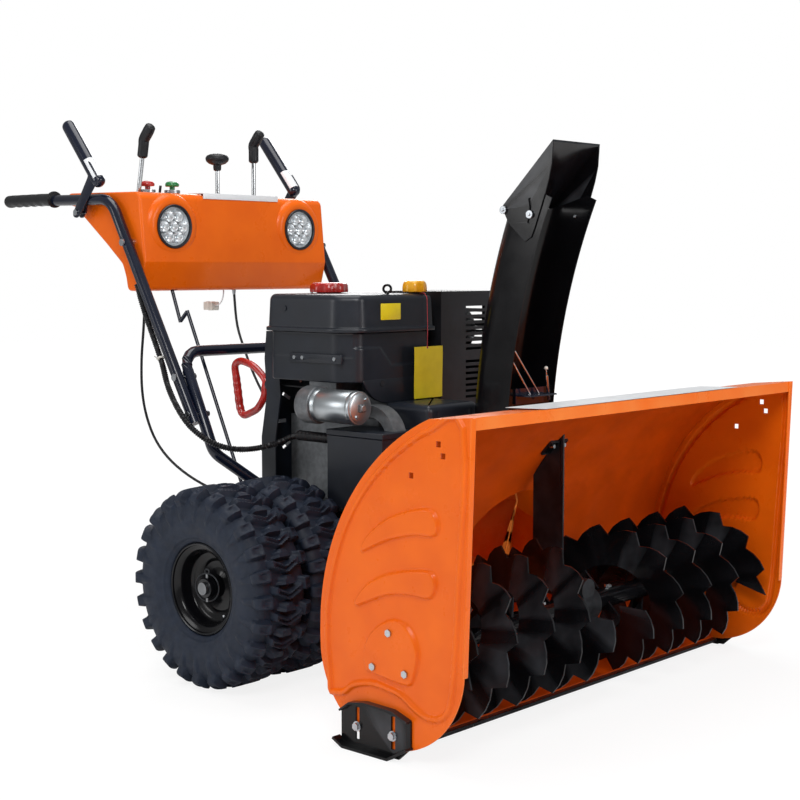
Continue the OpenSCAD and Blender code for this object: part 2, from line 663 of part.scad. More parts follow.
module grips() {
    color("#15161a") both_sides() difference() {
        union() {
            rod_y(grip_r, grip_front_y, grip_end_y, handle_x, grip_axis_z);
            rod_y(grip_r + 4, grip_front_y, grip_front_y + 5, handle_x, grip_axis_z);
        }
        rod(upper_route[0] + [0, 0.8, 0], upper_route[1], tube_r + run_gap);
    }
}
grip_axis_z = 995.6;
module handle_bolts() {
    color("silver") both_sides() {
        for (b = joint_bolts) {
            rod_x(bolt_r, low_handle_x - tube_r - 6, handle_x + tube_r + 3, b[0], b[1]);
            rod_x(8, handle_x + tube_r + 0.3, handle_x + tube_r + 3, b[0], b[1]);
            rod_x(7, low_handle_x - tube_r - 6, low_handle_x - tube_r - 0.3, b[0], b[1]);
        }
        for (b = console_bolts) {
            rod_x(bolt_r, console_x - console_t - 8, handle_x + tube_r + 3, b[0], b[1]);
            rod_x(8, handle_x + tube_r + 0.3, handle_x + tube_r + 4, b[0], b[1]);
            rod_x(7, console_x - console_t - 6, console_x - console_t - 0.3, b[0], b[1]);
            difference() {
                rod_x(9, console_x + 0.2, handle_x - tube_r + 4, b[0], b[1]);
                rod([handle_x, slope_y(800), 800], [handle_x, slope_y(960), 960], tube_r + 0.2);
            }
        }
        for (b = frame_bolts) {
            rod_x(bolt_r, frame_x - 10, frame_x + 2 * tube_r + 4, b[0], b[1]);
            rod_x(8, frame_x + 2 * tube_r + 0.8, frame_x + 2 * tube_r + 4, b[0], b[1]);
        }
        rod_x(bolt_r, handle_x - 6, handle_x + 20, lever_y, lever_z - 4);
        rod_x(8, handle_x - 6, handle_x - 2.3, lever_y, lever_z - 4);
        rod_x(7, handle_x + 17, handle_x + 20, lever_y, lever_z - 4);
    }
}

// Clutch lever: a plate beside the handle tube and a raised hand tube
lever_plate_x = handle_x + tube_r + 0.8;
lever_grip_r = 15.4;
module clutch_lever() {
    low = [handle_x + 5, 458, 1032];
    tip = [handle_x + 5, 566, 1160];
    union() {
        difference() {
            slab(lever_plate_x, lever_plate_x + 3) polygon(concat(
                arc([lever_y, lever_z - 4], 13, 250, 330, 5), [[low[1] + 24, low[2] + 12], [low[1] + 34,
                    low[2] + 45],
                [low[1] + 18, low[2] + 45]], arc([low[1] + 2, low[2] + 2], 12, 140, 230, 4)));
            rod_x(bolt_r + run_gap, handle_x, handle_x + 30, lever_y, lever_z - 4);
        }
        rod(low, tip, lever_grip_r);
        translate(tip) sphere(lever_grip_r + 0.4);
        translate(low) sphere(lever_grip_r + 0.4);
    }
}
module clutch_lever_left() { color("#1d2230") clutch_lever(); }
module clutch_lever_right() { color("#1d2230") mirror([1, 0, 0]) clutch_lever(); }

// ---------------------------------------------------------------- console
// Side outline of the console, anticlockwise from the bottom front corner
console_outline = [[340, 785], [386, 785], [392, 815], [404, 845], [462, 891], [547, 954], [572, 976],
    [606, 984], [606, 1010], [350, 1006], [338, 996], [323, 850]];
lamp_z = 930;
// Front face of the console at height z, above the crease
function face_y(z) = 323 + (338 - 323) * (z - 850) / (996 - 850);
lever_x = -240;
lever_foot = [417, 900];
lever_top = [381, 1089];
chute_lever_x = 72;
chute_lever_foot = [356, 900];
chute_lever_top = [354, 1092];
knob_x = -20;
knob_y = 380;
stop_x = -215;
start_x = -160;
button_y = [396, 376];
switch_x = -188;
switch_y = 387;
switch_z = 1002;
rod_x_pos = -185;
guide_x = rod_x_pos + 7;
guide_z = 308;
// Place along Y of the shift rod's lower stretch at height z
function rod_y_at(z) = 306 - (740 - z) * 0.473;
console_top_z = 1006;
module console() {
    color("darkorange") difference() {
        union() {
            difference() {
                slab(-console_x, console_x) polygon(console_outline);
                slab(-console_x + console_t, console_x - console_t) polygon(inset(console_outline,
                    console_t));
            }
            for (s = [-1, 1]) difference() {
                rod_y(lamp_r + 18, face_y(lamp_z) - 6, face_y(lamp_z) + 4, s * lamp_x, lamp_z);
                slab(-console_x, console_x) polygon(inset(console_outline, console_t - 0.5));
            }
        }
        for (s = [-1, 1]) rod_y(lamp_r + 3, 300, 345, s * lamp_x, lamp_z);
        box([lever_x - 8, 352, 990], [lever_x + 8, 448, 1020]);
        box([-95, 345, 990], [130, 415, 1020]);
        rod_z(14.5, 990, 1020, stop_x, button_y[0]);
        rod_z(14.5, 990, 1020, start_x, button_y[1]);
        box([switch_x - 6, switch_y - 9, 990], [switch_x + 6, switch_y + 9, 1020]);
        box([rod_x_pos - 9, 342, 780], [rod_x_pos + 9, 376, 790]);
        for (s = [-1, 1]) rod_z(4, 780, 790, s * 262, 352);
        rod_z(4, 780, 790, 4, 352);
        rod_z(4, 780, 790, -30, 358);
        for (s = [-1, 1]) for (b = console_bolts) rod_x(bolt_r + run_gap, s * console_x - 9,
            s * console_x + 9, b[0], b[1]);
    }
}
module gate_plate() {
    color("white") difference() {
        box([-100, 343, console_top_z + 1.2], [135, 417, console_top_z + 3.2]);
        box([chute_lever_x - 8, 349, 1000], [chute_lever_x + 8, 411, 1020]);
        rod_z(8, 1000, 1020, knob_x, knob_y);
        box([-96, 348, 1000], [-90, 412, 1020]);
    }
}
module lamp_shells() {
    color("black") for (s = [-1, 1]) difference() {
        union() {
            rod_y(lamp_r + 2.7, face_y(lamp_z) - 8, face_y(lamp_z) + 30, s * lamp_x, lamp_z);
            rod_y(lamp_r + 6, face_y(lamp_z) - 9, face_y(lamp_z) - 6.2, s * lamp_x, lamp_z);
        }
        rod_y(lamp_r, face_y(lamp_z) - 10, face_y(lamp_z) + 27, s * lamp_x, lamp_z);
    }
}
module lamp_lenses() {
    color("lightgray") for (s = [-1, 1]) {
        rod_y(lamp_r - run_gap, face_y(lamp_z) - 7, face_y(lamp_z) - 4, s * lamp_x, lamp_z);
        for (a = [0:60:300]) rod_y(9, face_y(lamp_z) - 3.7, face_y(lamp_z) + 12,
            s * lamp_x + 26 * cos(a), lamp_z + 26 * sin(a));
        rod_y(9, face_y(lamp_z) - 3.7, face_y(lamp_z) + 12, s * lamp_x, lamp_z);
        rod_y(lamp_r - run_gap, face_y(lamp_z) + 12.3, face_y(lamp_z) + 27, s * lamp_x, lamp_z);
    }
}

// Hand lever: chrome rod on a hinge pin, with a grip bent forward
module hand_lever(x, foot, top, tip) {
    a = [x, foot[0], foot[1]];
    b = [x, top[0], top[1]];
    difference() {
        union() {
            rod(a, b + (b - a) / norm(b - a) * 6, 5);
            rod_x(11, x - 7, x + 7, foot[0], foot[1]);
            rod(b, b + (b - a) / norm(b - a) * 38, 13);
            translate(b + (b - a) / norm(b - a) * 38) sphere(13.4);
            rod(b + (b - a) / norm(b - a) * 38, [x, tip[0], tip[1]], 12.6);
            translate([x, tip[0], tip[1]]) sphere(13);
        }
        rod_x(4 + run_gap, x - 20, x + 20, foot[0], foot[1]);
    }
}
module speed_lever() { color("#2a2b30") hand_lever(lever_x, lever_foot, lever_top, [352, 1150]); }
module chute_lever() { color("#2a2b30") hand_lever(chute_lever_x, chute_lever_foot, chute_lever_top,
    [332, 1154]); }
// Brackets and hinge pins of the two hand levers, fixed in the console
module lever_pins() {
    color("silver") {
        for (l = [[lever_x, lever_foot], [chute_lever_x, chute_lever_foot]]) {
            rod_x(4, l[0] - 16, l[0] + 16, l[1][0], l[1][1]);
            for (s = [-1, 1]) box([l[0] + s * 10 - 1.5, l[1][0] - 12, l[1][1] - 14],
                [l[0] + s * 10 + 1.5, l[1][0] + 12, l[1][1] + 14]);
            box([l[0] - 12, face_y(l[1][1] - 14) + console_t + 0.5, l[1][1] - 14],
                [l[0] + 12, l[1][0] - 11.5, l[1][1] - 10]);
            box([l[0] - 12, l[1][0] - 12, l[1][1] - 14], [l[0] + 12, l[1][0] + 12, l[1][1] - 11.5]);
        }
        difference() {
            box([knob_x - 12, face_y(984) + console_t + 0.3, 970], [knob_x + 12, knob_y + 12, 984]);
            rod_z(5 + run_gap, 950, 990, knob_x, knob_y);
        }
        rod_x(1.6, switch_x - 10, switch_x + 10, switch_y, switch_z);
    }
}
module chute_knob() {
    color("#15161a") union() {
        rod_z(5, 930, 1085, knob_x, knob_y);
        rod_z(9, 1066, 1080, knob_x, knob_y);
        translate([knob_x, knob_y, 1078]) rotate_extrude() polygon([[0, 0], [11, 0], [22, 6], [27.6, 13],
            [27, 19], [20, 24], [10, 26.5], [0, 27]]);
        rod_z(9, 924, 930.5, knob_x, knob_y);
    }
}
// Mushroom button: cap above a collar, stem through the panel
module button(x, y) {
    rod_z(6, 985, 1026, x, y);
    rod_z(16, 1022, 1034, x, y);
    rod_z(11, 982, 985.5, x, y);
}
module button_collars() {
    color("silver") for (b = [[stop_x, button_y[0]], [start_x, button_y[1]]]) difference() {
        union() {
            rod_z(14.2, 992, 1014, b[0], b[1]);
            rod_z(18, console_top_z + 1.2, 1014, b[0], b[1]);
        }
        rod_z(6 + run_gap, 980, 1020, b[0], b[1]);
    }
}
module stop_button() { color("red") button(stop_x, button_y[0]); }
module start_button() { color("green") button(start_x, button_y[1]); }
module lamp_switch() {
    color("black") difference() {
        union() {
            rod_x(5.5, switch_x - 5, switch_x + 5, switch_y, switch_z);
            rod([switch_x, switch_y, switch_z + 2], [switch_x, switch_y - 4, 1024], 3);
        }
        rod_x(1.9, switch_x - 9, switch_x + 9, switch_y, switch_z);
    }
}

// ---------------------------------------------------------------- engine
block_front_y = -210;
block_rear_y = 30;
head_top_z = 600;
shroud = [[-188, -216, head_top_z + 0.3], [62, 28, tank_z - 0.3]];
tank = [[-200, -230, tank_z], [70, 34, tank_top_z]];
cover_t = 3;
// Plan outline of a cover with its front right corner cut off
function cut_plan(a, b, c) = [[a[0] + c, a[1]], [b[0], a[1]], [b[0], b[1]], [a[0] + 14, b[1]], [a[0],
    b[1] - 14], [a[0], a[1] + c * 1.4]];
module prism(plan, z0, z1) { translate([0, 0, z0]) linear_extrude(z1 - z0) polygon(plan); }
module engine_block() {
    color("#9a9c9e") difference() {
        union() {
            box([-96, block_front_y, deck_z], [120, block_rear_y, 520]);
            box([-118, -158, deck_z], [-90, block_rear_y, 520]);
            for (x = [-140, 118]) box([x, -156, deck_z], [x + 24, 10, deck_z + 16]);
            box([30, -180, 519], [190, -30, head_top_z]);
            for (z = [524:12:596]) box([22, -190, z], [204, -20, z + 3]);
            rod_y(48, block_front_y - 6, block_front_y + 1, 0, crank_z);
            box([-150, -140, 515], [-60, -60, head_top_z + 3]);
        }
        rod_y(14, block_front_y - 10, block_front_y + 20, 0, crank_z);
    }
}
module engine_shroud() {
    plan = cut_plan(shroud[0], shroud[1], 30);
    color("#1b1c20") difference() {
        union() {
            prism(plan, shroud[0][2], shroud[1][2]);
            difference() {
                box([shroud[0][0] - 5, -196, 640], [shroud[0][0] + 1, -44, 659]);
                for (y = [-60, -84]) rod_x(4.5, shroud[0][0] - 9, shroud[0][0] + 1.5, y, 650);
            }
        }
        prism(inset(plan, cover_t), shroud[0][2] - 1, shroud[1][2] - cover_t);
        rod_x(7, shroud[0][0] - 1, shroud[0][0] + 9, -205 + 10, 618);
    }
}
module fuel_tank() {
    plan = cut_plan(tank[0], tank[1], 36);
    small = inset(plan, 6);
    color("#1b1c20") difference() {
        union() {
            prism(plan, tank_z, tank_z + 8);
            prism(small, tank_z + 7, tank_top_z - 8);
            prism(inset(plan, 12), tank_top_z - 9, tank_top_z);
            rod_z(27, tank_top_z - 4, tank_top_z + 6, fuel_cap_at[0], fuel_cap_at[1]);
            rod_z(13, tank_top_z - 4, tank_top_z + 3, oil_cap_at[0], oil_cap_at[1]);
        }
        prism(inset(plan, 15), tank_z + 3, tank_top_z - 12);
        rod_z(22, tank_top_z - 30, tank_top_z + 8, fuel_cap_at[0], fuel_cap_at[1]);
        rod_z(9, tank_top_z - 30, tank_top_z + 5, oil_cap_at[0], oil_cap_at[1]);
    }
}
fuel_cap_at = [-60, -30];
oil_cap_at = [38, -192];
module fuel_cap() {
    z = tank_top_z + 6.3;
    color("red") difference() {
        union() {
            rod_z(fuel_cap_r, z - 4, z + 16, fuel_cap_at[0], fuel_cap_at[1]);
            for (a = [0:45:359]) rod_z(6, z - 4, z + 13, fuel_cap_at[0] + (fuel_cap_r - 3) * cos(a),
                fuel_cap_at[1] + (fuel_cap_r - 3) * sin(a));
            rod_z(21.5, z - 20, z, fuel_cap_at[0], fuel_cap_at[1]);
        }
        difference() {
            rod_z(fuel_cap_r - 4, z - 5, z, fuel_cap_at[0], fuel_cap_at[1]);
            rod_z(21.5, z - 20, z + 1, fuel_cap_at[0], fuel_cap_at[1]);
        }
    }
}
module oil_cap() {
    z = tank_top_z + 3.3;
    color("gold") union() {
        rod_z(oil_cap_r, z, z + 15, oil_cap_at[0], oil_cap_at[1]);
        for (a = [0:20:359]) rod_z(2.2, z, z + 12, oil_cap_at[0] + (oil_cap_r - 0.6) * cos(a),
            oil_cap_at[1] + (oil_cap_r - 0.6) * sin(a));
        rod_z(8.6, z - 20, z + 1, oil_cap_at[0], oil_cap_at[1]);
    }
}
module lifting_eye() {
    color("dimgray") {
        translate([-62, -204, tank_top_z + 11]) rotate([0, 90, 40]) rotate_extrude() translate([8, 0])
            circle(2.6);
        rod_z(4, tank_top_z + 0.2, tank_top_z + 3, -62, -204);
    }
}
recoil_y = [block_rear_y + 0.3, 74];
rope_at = [-150, 582];
module recoil_housing() {
    plan = [[-166, 380], [-130, 345], [130, 345], [158, 375], [158, 660], [120, 700],
        [-150, 700], [-156, 640], [-150, 560], [-166, 470]];
    color("#1b1c20") difference() {
        union() {
            translate([0, recoil_y[1], 0]) rotate([90, 0, 0]) linear_extrude(recoil_y[1] - recoil_y[0])
                polygon(plan);
            rod_y(92, recoil_y[1] - 1, recoil_y[1] + 26, 0, crank_z + 60);
            rod_y(11, recoil_y[1] - 1, recoil_y[1] + 8, rope_at[0] + 12, rope_at[1]);
        }
        translate([0, recoil_y[1] - 4, 0]) rotate([90, 0, 0]) linear_extrude(recoil_y[1] - recoil_y[0])
            polygon(inset(plan, 4));
        rod_y(86, recoil_y[0], recoil_y[1] + 22, 0, crank_z + 60);
        rod_y(rope_r + 1, recoil_y[0], recoil_y[1] + 20, rope_at[0] + 12, rope_at[1]);
        for (a = [0:30:359]) translate([0, 0, crank_z + 60]) rotate([0, a, 0])
            box([96, recoil_y[1] - 9, -4], [122, recoil_y[1] + 9, 4]);
    }
}
rope_r = 2.5;
module recoil_handle() {
    x = rope_at[0] + 12;
    y = recoil_y[1] + 8.3;
    color("red") union() {
        difference() {
            slab(x - 9, x + 9) polygon(concat([[y, 570], [y, 596], [y + 38, 626]],
                arc([y + 98, 622], 17, 130, 20, 5), arc([y + 84, 516], 16, -20, -120, 5), [[y + 30, 520]]));
            slab(x - 10, x + 10) polygon(concat([[y + 20, 574], [y + 20, 590], [y + 48, 612]],
                arc([y + 86, 612], 8, 120, 20, 4), arc([y + 74, 532], 8, -20, -110, 4), [[y + 44, 532]]));
        }
        for (z = [540:20:600]) rod_x(7, x - 10, x + 10, y + 102 + (z - 580) * 0.1, z);
        rod_y(rope_r, -30, y + 2, x, rope_at[1]);
    }
}
starter_at = [-207, 555];
module starter_motor() {
    color("#c9ccd0") union() {
        rod_y(starter_r, -262, -150, starter_at[0], starter_at[1]);
        rod_y(starter_r - 4, -266, -261, starter_at[0], starter_at[1]);
        rod_y(6, -274, -265, starter_at[0], starter_at[1]);
    }
    color("#9a9c9e") union() {
        rod_y(starter_r + 5, -149.7, -104, starter_at[0], starter_at[1]);
        box([-206, -146, 524], [-150.3, -108, 584]);
        rod_y(17, -105, -82, starter_at[0] + 20, starter_at[1] + 14);
    }
}
module intake_arch() {
    c = [-240, 486];
    foot_z = battery_box_at[1][2] + 0.3;
    color("#9a9c9e") slab(-154, -118) polygon(concat([[-231, c[1] + 70]],
        arc(c, 70, 90, 180 - asin((foot_z - c[1]) / 70), 8),
        arc(c, 46, 180 - asin((foot_z - c[1]) / 46), 90, 6), [[-231, c[1] + 46]]));
}
muffler_box = [[86, -226, 532], [258, -62, 786]];
module muffler() {
    a = muffler_box[0];
    b = muffler_box[1];
    color("#8d8f92") union() {
        rod_x(52, a[0] + 14, b[0] - 14, -140, 700);
        rod_x(20, 120, 160, -140, 640);
        rod_z(17, 600.2, 690, 150, -140);
    }
}
module muffler_guard() {
    a = muffler_box[0];
    b = muffler_box[1];
    color("#1b1c20") difference() {
        box(a, b);
        box(a + [3, 3, -1], b - [3, 3, 3]);
        for (z = [b[2] - 130:13:b[2] - 32]) box([a[0] + 84, a[1] - 1, z], [b[0] - 22, a[1] + 4, z + 6]);
        for (z = [a[2] + 18:13:a[2] + 100]) box([a[0] + 84, a[1] - 1, z], [b[0] - 22, a[1] + 4, z + 6]);
        for (z = [b[2] - 120:16:b[2] - 40]) box([b[0] - 4, a[1] + 24, z], [b[0] + 1, b[1] - 24, z + 8]);
        box([a[0] - 1, -196, a[2] - 1], [206, b[1] + 1, head_top_z + 0.3]);
    }
}
belt_cover_box = [[-90, -346, deck_z + 0.2], [68, -217, 557]];
module belt_cover() {
    a = belt_cover_box[0];
    b = belt_cover_box[1];
    color("#1b1c20") difference() {
        union() {
            box(a, [b[0], b[1], b[2] - 14]);
            box([a[0] + 9, a[1] + 9, a[2]], [b[0] - 9, b[1], b[2]]);
        }
        box(a + [cover_t, cover_t, -1], [b[0] - cover_t, b[1] + 1, b[2] - 14 - cover_t]);
    }
}
battery_box_at = [[-200, -318, 344], [-98, -162, 506]];
module battery_box() {
    a = battery_box_at[0];
    b = battery_box_at[1];
    color("#26282d") difference() {
        union() {
            box(a, [b[0], b[1], b[2] - 12]);
            box([a[0] - 1.5, a[1] - 1.5, b[2] - 12], [b[0] + 1.5, b[1] + 1.5, b[2]]);
        }
        box(a + [4, 4, 4], b - [4, 4, 4]);
    }
    color("#26282d") box([a[0] + 26, a[1] + 18, deck_z + 0.2], [b[0] - 22, b[1] - 18, a[2] - 0.2]);
}

// ---------------------------------------------------------------- chute
chute_foot_z = ring_z + 2.5;
chute_corner = 42;
hinge_y = -468;
hinge_z = 952;
lock_r = 67;
lock_a = 189;
deflector_gap = 0.5;
deflector_t = 2.5;
// U shaped line across the chute, open at the front and round at the back, inset by o
function chute_line(o) =
    let (w = chute_w / 2, c = w - chute_corner)
    concat([[w - o, chute_side_d]], arc([c, -c], chute_corner - o, 0, -90, 8),
        arc([-c, -c], chute_corner - o, -90, -180, 8), [[o - w, chute_side_d]]);
module chute() {
    axis_y = chute_y - chute_bend_r;
    color("black") difference() {
        union() {
            translate([chute_x, axis_y, chute_foot_z]) rotate([90, 0, 90])
                rotate_extrude(angle = 23, $fn = 96) translate([chute_bend_r, 0]) rotate(90)
                    polygon(concat(chute_line(0), flip(chute_line(chute_t))));
            difference() {
                rod_z(ring_r, ring_z + slide_gap, ring_z + 5, chute_x, chute_y);
                rod_z(chute_w / 2 - chute_t - 4, ring_z, ring_z + 6, chute_x, chute_y);
            }
            box([chute_x - chute_w / 2 + 1, chute_y - chute_side_d + 1, ring_z + 2],
                [chute_x + chute_w / 2 - 1, chute_y - chute_side_d + 1 + chute_t, 592]);
        }
        translate([chute_x, hinge_y, hinge_z + 4]) rotate([-16, 0, 0]) translate([-100, -200, 0])
            cube([200, 300, 300]);
        for (s = [-1, 1]) {
            rod_x(3 + run_gap, chute_x + s * chute_w / 2 - 12, chute_x + s * chute_w / 2 + 12, hinge_y,
                hinge_z);
            rod_x(3 + run_gap, chute_x + s * chute_w / 2 - 12, chute_x + s * chute_w / 2 + 12,
                hinge_y + lock_r * cos(lock_a), hinge_z + lock_r * sin(lock_a));
        }
    }
}
// Side outline of the deflector's wings, and its sloping roof
wing_outline = [[-521, 889], [-480, 925], [-462, 958], [-588, 1085], [-585, 1040], [-578, 1010], [-567, 976],
    [-545, 917], [-536, 897]];
wing_x = chute_w / 2 + deflector_gap;
module deflector() {
    color("black") translate([chute_x, 0, 0]) difference() {
        union() {
            for (s = [0, 1]) mirror([s, 0, 0]) slab(wing_x, wing_x + deflector_t) polygon(wing_outline);
            slab(-wing_x - 1, wing_x + 1) polygon([[-464, 960], [-588, 1085], [-588, 1081], [-467.5, 959.5]]);
        }
        for (s = [-1, 1]) {
            rod_x(3 + run_gap, s * wing_x - 5, s * wing_x + 5, hinge_y, hinge_z);
            translate([s * wing_x - 5, hinge_y, hinge_z]) rotate([90, 0, 90]) rotate([0, 0, lock_a - 28])
                rotate_extrude(angle = 43) translate([lock_r - 3.6, 0]) square([7.2, 10]);
        }
    }
}
module deflector_bolts() {
    color("silver") translate([chute_x, 0, 0]) both_sides() {
        for (p = [[hinge_y, hinge_z], [hinge_y + lock_r * cos(lock_a), hinge_z + lock_r * sin(lock_a)]]) {
            rod_x(3, wing_x - 8, wing_x + deflector_t + 8, p[0], p[1]);
            rod_x(8, wing_x + deflector_t + slide_gap, wing_x + deflector_t + 5, p[0], p[1]);
        }
    }
}
stay_foot = [[54, -492, 578], [84, -492, 578]];
stay_head_z = [658, 686];
module cable_bracket() {
    y = chute_y - chute_side_d - slide_gap;
    color("#2a2d36") difference() {
        slab(24, 118) polygon([[y, 560], [y, 592], [y - 3, 592], [y - 3, 580], [-512, 580], [-514, 577],
            [y - 3, 577], [y - 3, 560]]);
        rod_z(3 + run_gap, 570, 590, 108, -500);
    }
    color("#2a2d36") {
        for (i = [0, 1]) rod(stay_foot[i] + [0, 0, 2.3], [chute_x - chute_w / 2 + chute_t + 2.4, -480,
            stay_head_z[i]], 2);
        rod([108, -500, 566], [100, -500, 616], 3);
        rod([100, -500, 615], [98, -500, 630], 1);
        translate([98, -500, 632]) sphere(4);
    }
}

// ---------------------------------------------------------------- cables and cords
// Route points of the cables, from the console to the frame
clutch_route = [[-262, 352, 800], [-262, 352, 770], [-264, 356, 700], [-266, 362, 630], [-264, 364,
    560], [-258, 356, 500],
    [-248, 335, 445], [-232, 300, 400], [-208, 250, 362], [-180, 190, 334], [-150, 130, 316], [-124, 86,
        307], [-120, 60.5, 306]];
chute_route = [[4, 352, 800], [4, 351, 770], [3, 340, 700], [2, 312, 640], [1, 280, 585], [1, 240, 530],
    [3, 195, 470],
    [10, 150, 400], [18, 114, 342], [25, 84, 312], [27, 60.5, 307]];
harness_route = [[-297, 334, 800], [-298, 318, 762], [-299, 297, 722], [-301, 272, 680], [-306, 240, 630],
    [-318, 205, 580], [-324, 165, 535], [-322, 128, 500], [-306, 98, 474], [-280, 80, 458], [-250, 60, 450],
    [-222, 30, 452], [-200, -10, 464], [-187, -40, 478], [-184, -62, 484]];
sleeve_at = [-184, 484];
string_route = [[38, -205.8, 783.3], [38, -212, 783.3], [38, -217.5, 783.3], [38, -219.2, 782.9],
    [37.9, -220.6, 781.9], [37.6, -223.6, 778.9], [37.3, -226.6, 775.4], [37, -228.2, 771.5], [36.8,
        -228.8, 766],
    [36.2, -230, 745], [35.4, -231.3, 722], [35, -231.8, 710], [34.6, -232, 698], [34.2, -232, 684],
        [34, -232, 670.3]];
lead_route = [[-20, 362, 784.6], [-20, 362.4, 776], [-20, 365, 766], [-20, 371, 756.5], [-20, 380, 750],
    [-20, 390.6, 748]];
module control_cables() {
    color("#15161a") {
        sweep(smooth(clutch_route, 2), 3, 8);
        mirror([1, 0, 0]) sweep(smooth(clutch_route, 2), 3, 8);
        sweep(smooth(chute_route, 2), 3, 8);
    }
}
module wiring_harness() { color("#15161a") sweep(smooth(harness_route, 2), 4.5, 8); }
module harness_sleeve() {
    color("#15161a") rod_y(11, battery_box_at[1][1] + 1.8, -62, sleeve_at[0], sleeve_at[1]);
}
module tag_string() { color("red") sweep(smooth(string_route, 2), 0.9, 8); }
module hang_tag() { color("yellow") box([-8, -233, 559], [84, -231, 670]); }
module connector_lead() { color("#c9ccd0") sweep(smooth(lead_route, 3), 1.6, 8); }
module connector() { color("white") box([-32, 391, 736], [-8, 423, 757]); }
module shift_rod() {
    color("#1d2230") union() {
        rod([rod_x_pos, 364, 822], [rod_x_pos, 322, 714], 4);
        rod([guide_x, 306, 740], [guide_x, rod_y_at(270), 270], 4);
        rod([rod_x_pos, 322, 716], [guide_x, 306, 738], 4.6);
    }
}

// ---------------------------------------------------------------- pieces that share a node
module shaft_bearings() { auger_bearing_cups(); axle_bearing_cups(); }
module fasteners() { housing_bolts(); handle_bolts(); }
module wheel_axle() { axle(); lynch_pins(); }
module engine() { engine_block(); lifting_eye(); intake_arch(); }
module exhaust() { muffler(); muffler_guard(); }
module lamps() { lamp_shells(); lamp_lenses(); }
module console_fittings() { lever_pins(); button_collars(); gate_plate(); }
module auger_drive() { auger_shaft(); worm_wheel(); shear_pins(); }
module impeller_drive() { impeller_shaft(); impeller_pulley(); }
module harness() { wiring_harness(); harness_sleeve(); }

side_plate_right();
side_plate_left();
auger_housing();
scraper_bar();
impeller_housing();
shaft_bearings();
fasteners();
skid_shoe_right();
skid_shoe_left();
gearbox_case();
gearbox_support();
auger_drive();
auger_right();
auger_left();
impeller();
impeller_drive();
engine_pulley();
drive_belt();
tractor_frame();
wheel_axle();
rims();
tyres_right();
tyres_left();
upper_handle_right();
upper_handle_left();
lower_handle();
grips();
clutch_lever_right();
clutch_lever_left();
console();
console_fittings();
lamps();
speed_lever();
chute_lever();
chute_knob();
stop_button();
start_button();
lamp_switch();
engine();
engine_shroud();
fuel_tank();
fuel_cap();
oil_cap();
recoil_housing();
recoil_handle();
starter_motor();
exhaust();
belt_cover();
battery_box();
chute();
deflector();
deflector_bolts();
cable_bracket();
control_cables();
harness();
tag_string();
hang_tag();
connector_lead();
connector();
shift_rod();
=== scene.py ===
"""Two stage snowblower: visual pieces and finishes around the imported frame, laid out as a Blender add-on."""
import json
import math

import bmesh
import bpy
import numpy as np
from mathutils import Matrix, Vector

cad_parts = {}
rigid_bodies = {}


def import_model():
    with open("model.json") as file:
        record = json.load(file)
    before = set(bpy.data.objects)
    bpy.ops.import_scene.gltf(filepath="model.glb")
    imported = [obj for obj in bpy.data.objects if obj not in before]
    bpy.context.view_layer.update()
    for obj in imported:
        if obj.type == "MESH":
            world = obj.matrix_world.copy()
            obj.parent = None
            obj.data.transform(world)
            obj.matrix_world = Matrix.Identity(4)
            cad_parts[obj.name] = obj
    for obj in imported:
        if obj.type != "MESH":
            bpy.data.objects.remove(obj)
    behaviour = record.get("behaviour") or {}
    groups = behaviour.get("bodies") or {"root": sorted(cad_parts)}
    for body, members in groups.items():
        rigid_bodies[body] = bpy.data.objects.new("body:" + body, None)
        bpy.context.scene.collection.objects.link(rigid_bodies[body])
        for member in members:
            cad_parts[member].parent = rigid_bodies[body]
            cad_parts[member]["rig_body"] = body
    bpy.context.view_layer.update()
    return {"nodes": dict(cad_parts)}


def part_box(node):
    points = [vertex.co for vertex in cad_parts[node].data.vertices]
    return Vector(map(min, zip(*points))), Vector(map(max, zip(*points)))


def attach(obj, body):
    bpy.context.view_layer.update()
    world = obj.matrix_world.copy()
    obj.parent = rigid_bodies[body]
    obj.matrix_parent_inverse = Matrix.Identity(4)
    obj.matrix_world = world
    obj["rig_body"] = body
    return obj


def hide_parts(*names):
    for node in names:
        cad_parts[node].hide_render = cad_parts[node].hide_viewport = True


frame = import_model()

bl_info = {
    "name": "Two stage snowblower",
    "version": (1, 0, 0),
    "blender": (4, 5, 0),
    "location": "3D View > Sidebar > Snowblower",
    "description": "Builds the snowblower's visible pieces around its packed frame",
    "category": "Object",
}

NODES = frame["nodes"]
MM = 0.001
# Places shared with the frame, in millimetres
TYRES = np.array(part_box("tyres_left")) / MM
WHEEL = TYRES.mean(0)[1:]
WHEEL_R = (TYRES[1, 2] - TYRES[0, 2]) / 2
TYRE_GAP = 1
TYRE_W = (TYRES[1, 0] - TYRES[0, 0] - TYRE_GAP) / 2
TYRE_X = (TYRES[0, 0] + TYRE_W / 2, TYRES[1, 0] - TYRE_W / 2)
# Lamps as (x, z), and caps, buttons and knob as (x, y)
LAMP = (196.0, 930.0)
FUEL_CAP = (-60, -30)
OIL_CAP = (38, -192)
STOP_BUTTON = (-215, 396)
START_BUTTON = (-160, 376)
KNOB = (-20, 380)
# Starter's axis as (x, z), and the auger shaft's as (y, z)
STARTER = (-207, 555)
AUGER_SHAFT = (-650, 176)
# Grips, clutch levers and hand levers across the machine
HANDLE_X = 300.0
GRIP_Z = 996.0
CLUTCH_X = 305.0
SPEED_LEVER_X = -240
CHUTE_LEVER_X = 72


